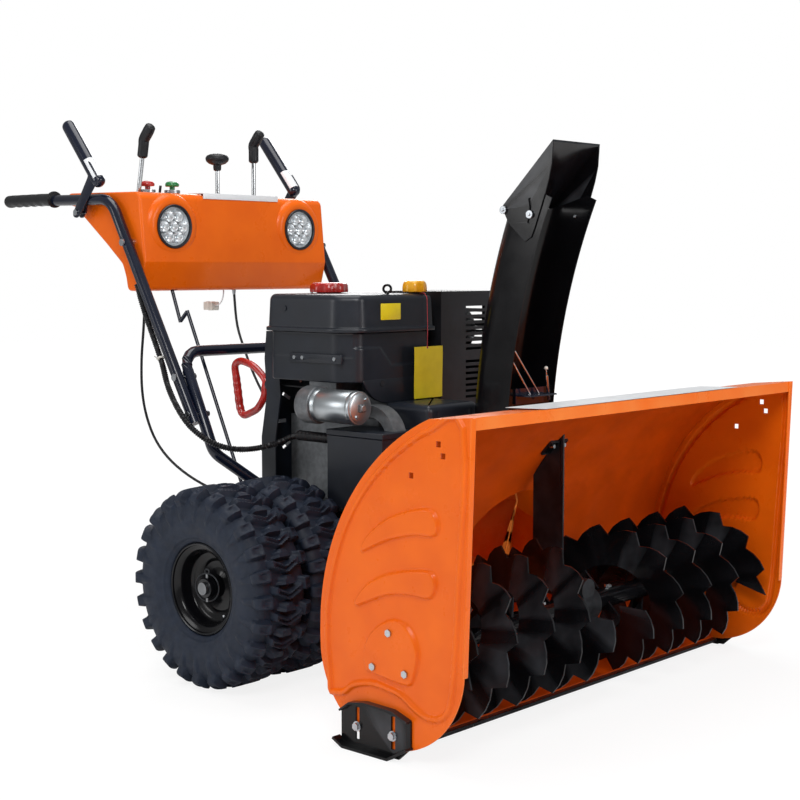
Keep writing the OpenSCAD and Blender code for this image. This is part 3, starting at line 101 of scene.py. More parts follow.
# ------------------------------------------------------------------ shapes
def spline(points, steps):
    """Catmull-Rom curve: each span blends its four nearest points with cubic weights of t."""
    p = np.asarray(points, float)
    q = np.vstack([p[:1], p, p[-1:]])
    t = np.linspace(0, 1, steps, endpoint=False)[:, None, None]
    a, b, c, d = q[:-3], q[1:-2], q[2:-1], q[3:]
    s = 0.5 * (2 * b + (c - a) * t + (2 * a - 5 * b + 4 * c - d) * t**2 + (3 * b - a - 3 * c + d) * t**3)
    return np.vstack([s.transpose(1, 0, 2).reshape(-1, p.shape[1]), p[-1:]])


def rounded(points, cut, steps=6):
    """A closed outline whose corners become quadratic Beziers, from the distance cut before each to that after it."""
    p = np.asarray(points, float)
    before, after = np.roll(p, 1, 0) - p, np.roll(p, -1, 0) - p
    la, lb = np.linalg.norm(before, axis=1), np.linalg.norm(after, axis=1)
    cut = np.minimum(np.broadcast_to(cut, len(p)), 0.49 * np.minimum(la, lb))
    a = p + before / la[:, None] * cut[:, None]
    c = p + after / lb[:, None] * cut[:, None]
    t = np.linspace(0, 1, steps)[None, :, None]
    q = (1 - t) ** 2 * a[:, None] + 2 * t * (1 - t) * p[:, None] + t**2 * c[:, None]
    return q.reshape(-1, p.shape[1])


def refine(points, step):
    """Points set along a closed outline so that no gap is wider than step, with every given point kept."""
    p = np.asarray(points, float)
    gaps = np.roll(p, -1, 0) - p
    counts = np.maximum(1, np.ceil(np.linalg.norm(gaps, axis=1) / step)).astype(int)
    return np.vstack([a + gap * np.linspace(0, 1, count, endpoint=False)[:, None]
                      for a, gap, count in zip(p, gaps, counts)])


def outward(outline):
    """Unit normals of a closed plane outline, from the chord between each point's neighbours."""
    d = np.roll(outline, -1, 0) - np.roll(outline, 1, 0)
    n = np.stack([d[:, 1], -d[:, 0]], 1) / np.maximum(np.linalg.norm(d, axis=1), 1e-9)[:, None]
    x, y = outline.T
    area = np.sum(x * np.roll(y, -1) - np.roll(x, -1) * y)
    return n * np.sign(area)


def skin(grid, close_u=False, close_v=True, caps=True):
    """Quads between neighbours of an (n, m, 3) grid, closed round either way, with flat caps on its end rings."""
    n, m = grid.shape[:2]
    i = np.arange(n if close_u else n - 1)[:, None]
    j = np.arange(m if close_v else m - 1)[None]
    up, right = (i + 1) % n, (j + 1) % m
    quads = np.stack([i * m + j, i * m + right, up * m + right, up * m + j], -1).reshape(-1, 4).tolist()
    if caps and close_v and not close_u:
        quads += [list(range(m))[::-1], list(range((n - 1) * m, n * m))]
    return grid.reshape(-1, 3), quads


def ends(low, high, radius, steps=5, rows=2):
    """Rows of (height, inset) for a body with quarter-round edges at both ends and rows straight bands."""
    a = np.linspace(0, np.pi / 2, steps)
    rise, inset = radius * (1 - np.cos(a)), radius * (1 - np.sin(a))
    middle = np.linspace(low + radius, high - radius, rows + 1)[1:-1]
    return np.vstack([np.stack([low + rise, inset], 1), np.stack([middle, 0 * middle], 1),
                      np.stack([high - rise[::-1], inset[::-1]], 1)])


def prism(outline, layers, axis="z", relief=None):
    """An outline (u, v) carried along the third axis: each ring is the outline moved in by its layer's inset, and
    relief pushes each side point along its normal by a distance found from its place."""
    o = np.asarray(outline, float)
    n = outward(o)
    layers = np.asarray(layers, float)
    h = np.repeat(layers[:, :1], len(o), 1)
    uv = o[None] - n[None] * layers[:, 1, None, None]
    if relief is not None:
        uv = uv + n[None] * (relief(uv[..., 0], uv[..., 1], h) * (layers[:, 1:] < 1e-6))[..., None]
    u, v = uv[..., 0], uv[..., 1]
    order = {"z": (u, v, h), "x": (h, u, v), "y": (u, h, v)}[axis]
    return skin(np.stack(order, -1))


def box(a, b, r=1.0, axis="z"):
    """A box between two corners with its edges rounded by r."""
    a, b = np.asarray(a, float), np.asarray(b, float)
    k = {"x": (1, 2, 0), "y": (0, 2, 1), "z": (0, 1, 2)}[axis]
    (u0, v0, h0), (u1, v1, h1) = a[list(k)], b[list(k)]
    plan = rounded([[u0, v0], [u1, v0], [u1, v1], [u0, v1]], r, 4)
    return prism(plan, ends(h0, h1, min(r, 0.49 * (h1 - h0)), 3, 1), axis)


def tube(path, radius, sides=16, ref=(0.31, 0.2, 0.93), dome=0.0):
    """A circle carried along a path, square to it and turned by ref. dome rounds both ends over that length."""
    p = np.asarray(path, float)
    r = np.broadcast_to(np.asarray(radius, float), len(p)).copy()
    if dome:
        a = np.linspace(0, np.pi / 2, 6)[:-1]
        first, last = p[0] - p[1], p[-1] - p[-2]
        first, last = first / np.linalg.norm(first), last / np.linalg.norm(last)
        shift = (np.cos(a) * dome)[:, None]
        p = np.vstack([p[0] + first * shift, p, (p[-1] + last * shift)[::-1]])
        r = np.concatenate([r[0] * np.sin(a), r, (r[-1] * np.sin(a))[::-1]])
    d = np.gradient(p, axis=0)
    d /= np.linalg.norm(d, axis=1)[:, None]
    s = np.cross(d, ref)
    s /= np.linalg.norm(s, axis=1)[:, None]
    w = np.cross(d, s)
    t = np.linspace(0, 2 * np.pi, sides, endpoint=False)
    ring = np.cos(t)[None, :, None] * s[:, None] + np.sin(t)[None, :, None] * w[:, None]
    return skin(p[:, None] + r[:, None, None] * ring)


def lathe(profile, centre=(0, 0, 0), axis="z", sides=48, wave=None, loop=False):
    """Rows of (radius, height) turned round an axis. wave scales the radius by angle and height, and loop closes
    the last row on the first."""
    q = np.asarray(profile, float)
    t = np.linspace(0, 2 * np.pi, sides, endpoint=False)
    r = np.repeat(q[:, :1], sides, 1)
    h = np.repeat(q[:, 1:2], sides, 1)
    if wave is not None:
        r = r * wave(t[None], h)
    c, s = r * np.cos(t), r * np.sin(t)
    order = {"z": (c, s, h), "x": (h, c, s), "y": (c, h, s)}[axis]
    return skin(np.stack(order, -1) + np.asarray(centre, float), close_u=loop, caps=not loop)


def mirrored(part):
    """The same part on the other side of the machine, X turned to minus X."""
    verts, faces = part[:2]
    return (np.asarray(verts) * [-1, 1, 1], [f[::-1] for f in faces]) + tuple(part[2:])


def on_side(side, part):
    """A part made for the left side of the machine, mirrored for the right."""
    return mirrored(part) if side == "right" else part


def step(x, edge, soft):
    """Smooth rise from 0 to 1 over the distance soft, centred on edge."""
    t = np.clip((x - edge) / soft + 0.5, 0, 1)
    return t * t * (3 - 2 * t)


def hump(x, half, soft):
    """1 within half of zero and 0 outside, with smooth walls soft wide."""
    return step(half - np.abs(x), 0, soft)


def link(obj, body, replaces=()):
    """Puts a piece in the scene, on its body, in the place of its frame nodes."""
    bpy.context.scene.collection.objects.link(obj)
    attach(obj, body)
    if replaces:
        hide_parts(*replaces)
    return obj


def soften(mesh, angle, recalculate=True):
    """Merges doubles, turns faces outward, and shades smooth up to an angle."""
    bm = bmesh.new()
    bm.from_mesh(mesh)
    bmesh.ops.remove_doubles(bm, verts=bm.verts, dist=2e-6)
    if recalculate:
        bmesh.ops.recalc_face_normals(bm, faces=bm.faces)
    bm.to_mesh(mesh)
    bm.free()
    mesh.shade_smooth()
    mesh.set_sharp_from_angle(angle=math.radians(angle))


def piece(name, parts, materials, body, slot, replaces=(), sharp=38, cutters=()):
    """One object from parts in millimetres: (vertices, faces) or (vertices, faces, material number). The shapes of
    the cutters are taken away from it."""
    verts, faces, numbers, base = [], [], [], 0
    for part in parts:
        v, f = part[:2]
        verts.append(np.asarray(v, float))
        faces += [[base + i for i in face] for face in f]
        numbers += [part[2] if len(part) > 2 else 0] * len(f)
        base += len(v)
    mesh = bpy.data.meshes.new(name)
    mesh.from_pydata(np.vstack(verts) * MM, [], faces)
    mesh.polygons.foreach_set("material_index", numbers)
    for m in materials:
        mesh.materials.append(MATERIALS[m])
    soften(mesh, sharp)
    obj = bpy.data.objects.new(name, mesh)
    link(obj, body, replaces)
    if cutters:
        tool = piece(name + "_tool", cutters, materials[-1:], body, slot)
        cut = obj.modifiers.new("holes", "BOOLEAN")
        cut.object, cut.solver, cut.operation = tool, "EXACT", "DIFFERENCE"
        done = bpy.data.meshes.new_from_object(obj.evaluated_get(bpy.context.evaluated_depsgraph_get()))
        obj.modifiers.clear()
        obj.data = done
        bpy.data.objects.remove(tool)
        soften(done, sharp, False)
    return obj


def merged(node):
    """A node's corner points, each place once, and its triangles with no empty ones."""
    mesh = NODES[node].data
    co = np.empty(len(mesh.vertices) * 3)
    mesh.vertices.foreach_get("co", co)
    tri = np.empty(len(mesh.loops), int)
    mesh.loops.foreach_get("vertex_index", tri)
    _, first, back = np.unique(np.round(co.reshape(-1, 3) * 1e6).astype(np.int64), axis=0,
                               return_index=True, return_inverse=True)
    tri = back.reshape(-1)[tri].reshape(-1, 3)
    full = (tri[:, 0] != tri[:, 1]) & (tri[:, 1] != tri[:, 2]) & (tri[:, 2] != tri[:, 0])
    return co.reshape(-1, 3)[first], tri[full]


def refined(node, materials, bevel=0.8, pick=None, sharp=32):
    """A merged copy of a node with flat areas joined and its edges eased by bevel millimetres. pick gives each
    face's material number from the face centres, in millimetres."""
    verts, tri = merged(node)
    mesh = bpy.data.meshes.new(node + "_finished")
    mesh.from_pydata(verts, [], tri.tolist())
    for m in materials:
        mesh.materials.append(MATERIALS[m])
    if pick is not None:
        mesh.polygons.foreach_set("material_index", pick(verts[tri].mean(1) / MM).astype(int))
    bm = bmesh.new()
    bm.from_mesh(mesh)
    bmesh.ops.dissolve_limit(bm, angle_limit=math.radians(0.5), verts=bm.verts, edges=bm.edges,
                             delimit={"MATERIAL"})
    bm.to_mesh(mesh)
    bm.free()
    mesh.shade_smooth()
    mesh.set_sharp_from_angle(angle=math.radians(sharp))
    obj = link(bpy.data.objects.new(node + "_finished", mesh), NODES[node]["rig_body"], (node,))
    if bevel:
        ease = obj.modifiers.new("eased_edges", "BEVEL")
        ease.width, ease.segments = bevel * MM, 2
        ease.limit_method, ease.angle_limit = "ANGLE", math.radians(sharp)
    return obj


# ------------------------------------------------------------------ finishes
MATERIALS = {}


def linear(code):
    """The linear colour of an sRGB hex code."""
    s = np.array([int(code[i:i + 2], 16) for i in (1, 3, 5)]) / 255
    rgb = np.where(s <= 0.04045, s / 12.92, ((s + 0.055) / 1.055) ** 2.4)
    return (*rgb.tolist(), 1.0)


def add(tree, kind, inputs=None, **settings):
    """Adds a node with its settings, and sets each named or numbered input to a value or links it to a socket."""
    node = tree.nodes.new("ShaderNode" + kind)
    for key, value in settings.items():
        setattr(node, key, value)
    for key, value in (inputs or {}).items():
        if isinstance(value, bpy.types.NodeSocket):
            tree.links.new(value, node.inputs[key])
        else:
            node.inputs[key].default_value = value
    return node


def finish(name, base, tint, patch, rough, vary, grain, depth, metallic=0.0, coat=0.0, stretch=(1, 1, 1),
           edge_highlight=None, ior=1.5, sheen=0.0, spec=0.5):
    """A finish whose colour drifts between base and tint over patches of that many millimetres, and its roughness
    by vary either way, with a grain of that size and depth in its surface, and optionally a paler colour on convex
    edges as a painted highlight. Gives back its shader."""
    mat = bpy.data.materials.new(name)
    mat.use_nodes = True
    tree = mat.node_tree
    tree.nodes.clear()
    place = add(tree, "TexCoord").outputs["Object"]
    drawn = add(tree, "Mapping", {"Vector": place, "Scale": stretch}).outputs[0]
    drift = add(tree, "TexNoise", {"Vector": drawn, "Scale": 1000 / patch, "Detail": 3.0}).outputs["Fac"]
    fac = add(tree, "MapRange", {"Value": drift, 1: 0.25, 2: 0.75}).outputs[0]
    colour = add(tree, "Mix", {0: fac, 6: linear(base), 7: linear(tint)}, data_type="RGBA").outputs[2]
    fine = add(tree, "TexNoise", {"Vector": drawn, "Scale": 1000 / grain, "Detail": 2.0}).outputs["Fac"]
    smear = add(tree, "TexNoise", {"Vector": drawn, "Scale": 1000 / (patch * 0.6), "Detail": 4.0,
                                   "Roughness": 0.65}).outputs["Fac"]
    dull = add(tree, "MapRange", {"Value": smear, 1: 0.3, 2: 0.7, 3: rough - vary, 4: rough + vary}).outputs[0]
    bump = add(tree, "Bump", {"Height": fine, "Strength": 1.0, "Distance": depth * MM}).outputs[0]
    # Painted highlight: convex edges, found by pointiness, get a paler colour in patches
    if edge_highlight:
        edge = add(tree, "NewGeometry").outputs["Pointiness"]
        edge = add(tree, "MapRange", {"Value": edge, 1: 0.54, 2: 0.6}).outputs[0]
        edge = add(tree, "Math", {0: edge, 1: fac}, operation="MULTIPLY").outputs[0]
        colour = add(tree, "Mix", {0: edge, 6: colour, 7: linear(edge_highlight)}, data_type="RGBA").outputs[2]
    shader = add(tree, "BsdfPrincipled", {"Base Color": colour, "Roughness": dull, "Metallic": metallic,
                                          "Coat Weight": coat, "Coat Roughness": 0.06, "IOR": ior,
                                          "Sheen Weight": sheen, "Specular IOR Level": spec, "Normal": bump})
    add(tree, "OutputMaterial", {"Surface": shader.outputs[0]})
    MATERIALS[name] = mat
    return shader


def make_finishes(c):
    """Every finish of the machine; c holds the main colours. The numbers after the two colours are the patches in
    millimetres, the roughness and how much it varies, and the grain and its depth in millimetres."""
    # Polyester powder coat, sprayed and baked: an even bright gloss with a faint orange peel, and a paler orange on
    # convex edges as a painted highlight
    finish("gloss_powder_coat", c.orange, "#e25f08", 90, 0.3, 0.05, 1.6, 0.012, coat=0.08, edge_highlight="#f28a3c", spec=0.22)
    # The same powder inside the housing: a darker copy of the orange as painted shade, where it is less lit
    finish("shaded_inner_powder_coat", c.orange_in_shade, "#b84204", 70, 0.36, 0.06, 1.6, 0.012, coat=0.1, spec=0.3)
    # Black powder coat on sheet steel: deep gloss, with the sheet's slow waves in its reflections, and grey on convex
    # edges as a painted highlight
    finish("black_powder_coat", c.black, "#0d0d10", 80, 0.2, 0.06, 3.0, 0.02, coat=0.08, edge_highlight="#3a3c40", spec=0.22)
    # Blue-black powder coat on drawn tube: a clean gloss with a cool cast
    finish("tube_powder_coat", c.tube, "#10172a", 120, 0.2, 0.04, 2.0, 0.008, coat=0.2, spec=0.4)
    # Bright zinc plate: pale blue-grey metal with cloudy passivation
    finish("zinc_plate", "#c6cace", "#a4a9ae", 26, 0.26, 0.05, 0.8, 0.003, metallic=1.0)
    # Rolled and zinc plated motor shell: one even soft shine
    finish("motor_plate", "#c2c8cb", "#b4babe", 60, 0.34, 0.02, 2.0, 0.0004, metallic=1.0)
    # Chrome plated rod: hard mirror finish, only faintly smeared
    finish("chrome_plate", "#d4d6d8", "#c6c9cc", 20, 0.09, 0.04, 2.0, 0.001, metallic=1.0)
    # Sand cast aluminium: dull pale grey with a coarse pebbled skin
    finish("cast_aluminium", "#84878a", "#686b6e", 12, 0.46, 0.08, 1.4, 0.1, metallic=0.8)
    # Cast gearbox: a dull, darker cast metal
    finish("dark_cast", "#3c3e42", "#28292c", 14, 0.42, 0.08, 1.4, 0.08, metallic=0.7)
    # Turned steel shaft and machined pulley: fine rings and a darker oiled tone
    finish("turned_steel", "#8b8d8f", "#6c6e71", 25, 0.32, 0.08, 0.6, 0.01, metallic=1.0, stretch=(4, 1, 1))
    # Bronze worm wheel
    finish("bronze", "#b08a3e", "#8d6b2c", 15, 0.33, 0.08, 1.0, 0.02, metallic=1.0)
    # Natural and butyl rubber tyre: blue-black, matt, with mould bloom and dust in patches
    finish("tyre_rubber", c.tyre, "#192334", 22, 0.62, 0.1, 1.1, 0.06, spec=0.35)
    # Moulded nitrile grip: soft black with a slight sheen
    finish("grip_rubber", "#0c0d10", "#15171c", 18, 0.45, 0.08, 0.9, 0.03, spec=0.4)
    # Injection moulded nylon covers: dark blue-grey, spark-eroded grain that softens every highlight
    finish("moulded_nylon", c.cover, "#1c212b", 90, 0.38, 0.06, 0.7, 0.03, coat=0.05, spec=0.4)
    # Heat resistant silicone paint: dead flat black with a dry grain
    finish("heat_paint", "#101114", "#1a1c21", 40, 0.45, 0.08, 0.8, 0.03, spec=0.35)
    # ABS switch and cap colours: glossy with faint flow marks
    finish("red_abs", c.red, "#8f1410", 14, 0.24, 0.05, 1.5, 0.006, coat=0.5)
    finish("green_abs", "#1d8a44", "#146c34", 14, 0.24, 0.05, 1.5, 0.006, coat=0.5)
    finish("yellow_abs", "#f2b21a", "#e09c10", 18, 0.3, 0.06, 1.2, 0.02, coat=0.3)
    # PVC cable jacket: satin black
    finish("pvc_jacket", "#0b0c0f", "#15161a", 15, 0.38, 0.08, 0.8, 0.03, spec=0.35)
    # White printed vinyl: blank, slightly glossy film
    finish("white_vinyl", "#eceef0", "#dfe2e5", 30, 0.34, 0.05, 1.0, 0.004, coat=0.2)
    # Varnished yellow card
    finish("yellow_card", "#e8d516", "#dcc80c", 25, 0.42, 0.06, 0.9, 0.02, coat=0.15)
    # Twisted polyester thread
    finish("red_thread", "#b0202e", "#8c1422", 3, 0.7, 0.08, 0.5, 0.08, sheen=0.3)
    # Nylon connector body, natural white
    finish("nylon_white", "#e6e5dd", "#d6d5cc", 10, 0.42, 0.06, 1.0, 0.02)
    # Vacuum metallised reflector: bright and smooth
    finish("reflector", "#f4f7f9", "#e6eaed", 12, 0.3, 0.05, 2.0, 0.001, metallic=0.75)
    # Polycarbonate lens: clear, cool and slightly wavy
    lens = finish("lens", "#eef4f8", "#e2edf3", 20, 0.06, 0.03, 4.0, 0.03, ior=1.58)
    lens.inputs["Transmission Weight"].default_value = 0.92


# ------------------------------------------------------------------ settings
def length(name, text, value):
    """A length setting in metres, given in millimetres."""
    return bpy.props.FloatProperty(name=name, description=text, default=value * MM, unit="LENGTH", min=0.0)


class SnowblowerSizes(bpy.types.PropertyGroup):
    """Sizes of visible details that the frame leaves open."""
    lug_height: length("Lug height", "Height of the tyre lugs above the carcass", 13.5)
    bead_height: length("Bead height", "Height of the pressed shapes on the side plates", 7.5)
    edge_round: length("Console edge", "Rounding of the console's folded edges", 5)
    lug_pitches: bpy.props.IntProperty(name="Lugs", description="Shoulder lugs round each tyre", default=24, min=12)


class SnowblowerColours(bpy.types.PropertyGroup):
    """Main colours, as sRGB hex codes."""
    orange: bpy.props.StringProperty(name="Body", description="Powder coat of the housing", default="#ee6a0a")
    # Darker orange for the inside of the housing: painted shade
    orange_in_shade: bpy.props.StringProperty(name="Inside", description="Powder coat in the housing", default="#d04c02")
    black: bpy.props.StringProperty(name="Black", description="Chute, auger and frame", default="#070709")
    tube: bpy.props.StringProperty(name="Tubes", description="Handle tubes", default="#0b1120")
    tyre: bpy.props.StringProperty(name="Tyres", description="Tyre rubber", default="#121a28")
    cover: bpy.props.StringProperty(name="Covers", description="Engine covers and tank", default="#15191f")
    red: bpy.props.StringProperty(name="Red", description="Stop button and fuel cap", default="#c4231a")


def sizes():
    """The size settings of the scene."""
    return bpy.context.scene.snowblower_sizes


# ------------------------------------------------------------------ stage
class SNOWBLOWER_OT_stage(bpy.types.Operator):
    """Camera, soft lights, pale floor and white surroundings."""
    bl_idname = "snowblower.stage"
    bl_label = "Stage"
    bl_options = {"REGISTER", "UNDO"}

    def execute(self, context):
        scene = context.scene
        scene.view_settings.view_transform = "Standard"
        camera = bpy.data.objects.new("camera", bpy.data.cameras.new("camera"))
        camera.data.lens, camera.data.sensor_width = 68.05, 36.0
        camera.location = (-2.398, -2.359, 0.836)
        camera.rotation_euler = Vector((0.7379, 0.6693, -0.0868)).to_track_quat("-Z", "Y").to_euler()
        scene.collection.objects.link(camera)
        scene.camera = camera
        middle = Vector((0, 0, 0.5))
        for name, place, size, power in (
                ("key", (-2.6, -2.2, 3.0), 1.6, 66), ("front", (0.6, -4.2, 1.8), 1.8, 48),
                ("top", (0.0, 0.2, 3.6), 2.4, 56), ("back", (2.8, 2.6, 2.4), 1.8, 44),
                ("side", (-3.6, 1.6, 1.6), 1.6, 26)):
            light = bpy.data.objects.new(name, bpy.data.lights.new(name, "AREA"))
            light.data.shape, light.data.size, light.data.energy = "DISK", size, power
            light.location = place
            light.rotation_euler = (middle - Vector(place)).to_track_quat("-Z", "Y").to_euler()
            scene.collection.objects.link(light)
        floor = bpy.data.meshes.new("floor")
        far = 12.0
        floor.from_pydata([(-far, -far, 0), (far, -far, 0), (far, far, 0), (-far, far, 0)], [], [(0, 1, 2, 3)])
        ground = bpy.data.objects.new("floor", floor)
        scene.collection.objects.link(ground)
        # Matt white studio paint, which shows as plain white to the camera and more so further from the machine
        mat = bpy.data.materials.new("studio_paint")
        mat.use_nodes = True
        tree = mat.node_tree
        tree.nodes.clear()
        seen = add(tree, "LightPath").outputs["Is Camera Ray"]
        away = add(tree, "TexCoord").outputs["Object"]
        away = add(tree, "VectorMath", {0: away}, operation="LENGTH").outputs["Value"]
        share = add(tree, "MapRange", {"Value": away, 1: 1.6, 2: 4.5, 3: 0.8, 4: 1.0}).outputs[0]
        share = add(tree, "Math", {0: seen, 1: share}, operation="MULTIPLY").outputs[0]
        paint = add(tree, "BsdfPrincipled", {"Base Color": linear("#f4f4f4"), "Roughness": 0.7}).outputs[0]
        glow = add(tree, "Emission", {"Color": linear("#ffffff"), "Strength": 1.06}).outputs[0]
        both = add(tree, "MixShader", {0: share, 1: paint, 2: glow}).outputs[0]
        add(tree, "OutputMaterial", {"Surface": both})
        floor.materials.append(mat)
        world = bpy.data.worlds.new("studio")
        world.use_nodes = True
        tree = world.node_tree
        tree.nodes.clear()
        path = add(tree, "LightPath").outputs
        clear = add(tree, "Math", {0: path["Is Camera Ray"], 1: path["Is Transmission Ray"]}, operation="MAXIMUM")
        power = add(tree, "MapRange", {"Value": clear.outputs[0], 3: 0.34, 4: 1.0}).outputs[0]
        sky = add(tree, "Background", {"Color": linear("#ffffff"), "Strength": power}).outputs[0]
        add(tree, "OutputWorld", {"Surface": sky})
        scene.world = world
        return {"FINISHED"}


class SNOWBLOWER_OT_finishes(bpy.types.Operator):
    """Every finish, from the colour settings."""
    bl_idname = "snowblower.finishes"
    bl_label = "Finishes"
    bl_options = {"REGISTER", "UNDO"}

    def execute(self, context):
        make_finishes(context.scene.snowblower_colours)
        return {"FINISHED"}


# ------------------------------------------------------------------ cords
STRING_ROUTE = np.array([
    [38, -205.8, 783.3], [38, -212, 783.3], [38, -217.5, 783.3], [38, -219.2, 782.9], [37.9, -220.6, 781.9],
    [37.6, -223.6, 778.9], [37.3, -226.6, 775.4], [37, -228.2, 771.5], [36.8, -228.8, 766], [36.2, -230, 745],
    [35.4, -231.3, 722], [35, -231.8, 710], [34.6, -232, 698], [34.2, -232, 684], [34, -232, 670.3]]) * MM
LEAD_ROUTE = np.array([
    [-20, 362, 784.6], [-20, 362.4, 776], [-20, 365, 766], [-20, 371, 756.5], [-20, 380, 750],
    [-20, 390.6, 748]]) * MM


class SNOWBLOWER_OT_tag(bpy.types.Operator):
    """The blank yellow tag on its thread."""
    bl_idname = "snowblower.tag"
    bl_label = "Tag and thread"
    bl_options = {"REGISTER", "UNDO"}

    def execute(self, context):
        low, high = (np.array(p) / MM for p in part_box("hang_tag"))
        tag_y, thick, margin = -232, 0.5, 0.4
        # The card bows along its height and curls at its foot: y follows a sine of z, plus a square of the depth
        u = np.linspace(low[0] + margin, high[0] - margin, 18)
        v = np.linspace(low[2] + margin, high[2] - margin, 26)
        x, z = np.meshgrid(u, v)
        t = (z - low[2]) / (high[2] - low[2])
        y = tag_y + 0.45 * np.sin(t * 5.2 + 0.4) + 0.35 * (1 - t) ** 2
        front = np.stack([x, y - thick / 2, z], -1)
        back = np.stack([x, y + thick / 2, z], -1)
        card = skin(np.concatenate([front, back[:, ::-1]], 1), close_v=True, caps=False)
        rims = [skin(np.stack([front[k], back[k]]), close_v=False, caps=False) for k in (0, -1)]
        knot = lathe([[0, -2.6], [1.6, -2], [2.2, 0], [1.6, 2], [0, 2.6]], (34, tag_y, 667.6), "z", 16)
        eyelet = lathe([[2.2, -0.6], [4.2, -0.6], [4.2, 0.6], [2.2, 0.6]], (34, tag_y, 664), "y", 24, loop=True)
        piece("blank_tag", [card, *rims, (*eyelet, 1)], ["yellow_card", "zinc_plate"], "machine", "tag_card",
              ["hang_tag"])
        path = spline(STRING_ROUTE, 4)
        thread = piece("tag_thread", [tube(path / MM, 0.9, 10)], ["red_thread"], "machine", "tag_thread",
                       ["tag_string"])
        tied = piece("thread_knot", [knot], ["red_thread"], "machine", "tag_thread")
        return {"FINISHED"}


class SNOWBLOWER_OT_lead(bpy.types.Operator):
    """The short lead with its ribbed connector."""
    bl_idname = "snowblower.lead"
    bl_label = "Lead and connector"
    bl_options = {"REGISTER", "UNDO"}

    def execute(self, context):
        a, b = (np.array(p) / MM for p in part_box("connector"))
        ribs = [box([a[0], a[1] + k, a[2]], [b[0], a[1] + k + 1.6, b[2]], 0.6) for k in (4, 8, 12)]
        shell = box(a + [0.8, 0.2, 0.8], b - [0.8, 0.2, 0.8], 1.5, "y")
        latch = box([a[0] + 8, a[1] + 14, b[2] - 1], [b[0] - 8, b[1] - 3, b[2]], 0.6)
        plug = piece("lead_connector", [shell, *ribs, latch], ["nylon_white"], "machine", "connector_nylon",
                     ["connector"])
        path = spline(LEAD_ROUTE, 6)
        lead = piece("lead_wire", [tube(path / MM, 1.6, 12)], ["white_vinyl"], "machine", "connector_nylon",
                     ["connector_lead"])
        return {"FINISHED"}


CLUTCH_ROUTE = np.array([
    [-262, 352, 800], [-262, 352, 770], [-264, 356, 700], [-266, 362, 630], [-264, 364, 560], [-258, 356, 500],
    [-248, 335, 445], [-232, 300, 400], [-208, 250, 362], [-180, 190, 334], [-150, 130, 316], [-124, 86, 307],
    [-120, 60.5, 306]])
CHUTE_ROUTE = np.array([
    [4, 352, 800], [4, 351, 770], [3, 340, 700], [2, 312, 640], [1, 280, 585], [1, 240, 530], [3, 195, 470],
    [10, 150, 400], [18, 114, 342], [25, 84, 312], [27, 60.5, 307]])
HARNESS_ROUTE = np.array([
    [-297, 334, 800], [-298, 318, 762], [-299, 297, 722], [-301, 272, 680], [-306, 240, 630], [-318, 205, 580],
    [-324, 165, 535], [-322, 128, 500], [-306, 98, 474], [-280, 80, 458], [-250, 60, 450], [-222, 30, 452],
    [-200, -10, 464], [-187, -40, 478], [-184, -62, 484]])


class SNOWBLOWER_OT_cables(bpy.types.Operator):
    """Control cables with their end ferrules, and the wiring in its corrugated sleeve."""
    bl_idname = "snowblower.cables"
    bl_label = "Cables and wiring"
    bl_options = {"REGISTER", "UNDO"}

    def execute(self, context):
        routes = [CLUTCH_ROUTE, CLUTCH_ROUTE * [-1, 1, 1], CHUTE_ROUTE]
        parts = [tube(spline(r, 4), 3.0, 12) for r in routes]
        ferrule = 4.6
        for r in routes:
            parts.append((*tube([r[-1] + (r[-2] - r[-1]) * k for k in (0, 0.2, 0.45)], ferrule, 12), 1))
            parts.append((*tube([r[0], r[0] - [0, 0, 16], r[0] - [0, 0, 26]], [ferrule, ferrule, 3.4], 12), 1))
        piece("control_cable_set", parts, ["pvc_jacket", "zinc_plate"], "machine", "cable_jacket",
              ["control_cables"])
        path = spline(HARNESS_ROUTE, 26)
        s = np.concatenate([[0], np.cumsum(np.linalg.norm(np.diff(path, axis=0), axis=1))])
        # Corrugated sleeve: the radius follows a rounded square wave of the length, one rib every 5 mm
        rib = 6.1 + 0.8 * np.tanh(2.5 * np.sin(s * 2 * np.pi / 5.0))
        parts = [tube(path, rib, 14)]
        # Cable tie: a band, its square head and its curved tail
        tie_z = 640
        at = int(np.argmin(np.abs(path[:, 2] - tie_z)))
        d = path[at + 2] - path[at - 2]
        band = [path[at] + d / np.linalg.norm(d) * k for k in (-2.4, -2, 2, 2.4)]
        parts.append((*tube(band, [7, 8, 8, 7], 16), 1))
        head = path[at] + [-8.5, -2, 0]
        parts.append((*box(head - [3, 2.6, 2.6], head + [3, 2.6, 2.6], 0.8), 1))
        parts.append((*tube([head, head + [-8, -4, 2], head + [-17, -8, 7]], 1.1, 8, dome=1), 1))
        # Wider sleeve over the plug at the harness's end, one rib every 6 mm
        y = np.arange(-160, -62.2, 0.8)
        wave = 10.2 + 0.7 * np.tanh(2.5 * np.sin(y * 2 * np.pi / 6))
        parts.append(lathe(np.stack([wave, y], 1), (-184, 0, 484), "y", 24))
        piece("wiring_sleeve", parts, ["pvc_jacket", "nylon_white"], "machine", "cable_jacket", ["harness"])
        return {"FINISHED"}


# ------------------------------------------------------------------ clearing housing
HOUSE = dict(half=535.0, top=597.0, crown_fall=8, front=-825.0, rear=-478, rear_z=190, low_y=-644.0, low_z=180.0,
             low_r=166.0, arch_y=-899.0, arch_z=202.0, arch_r=421.0, plate=3.0)


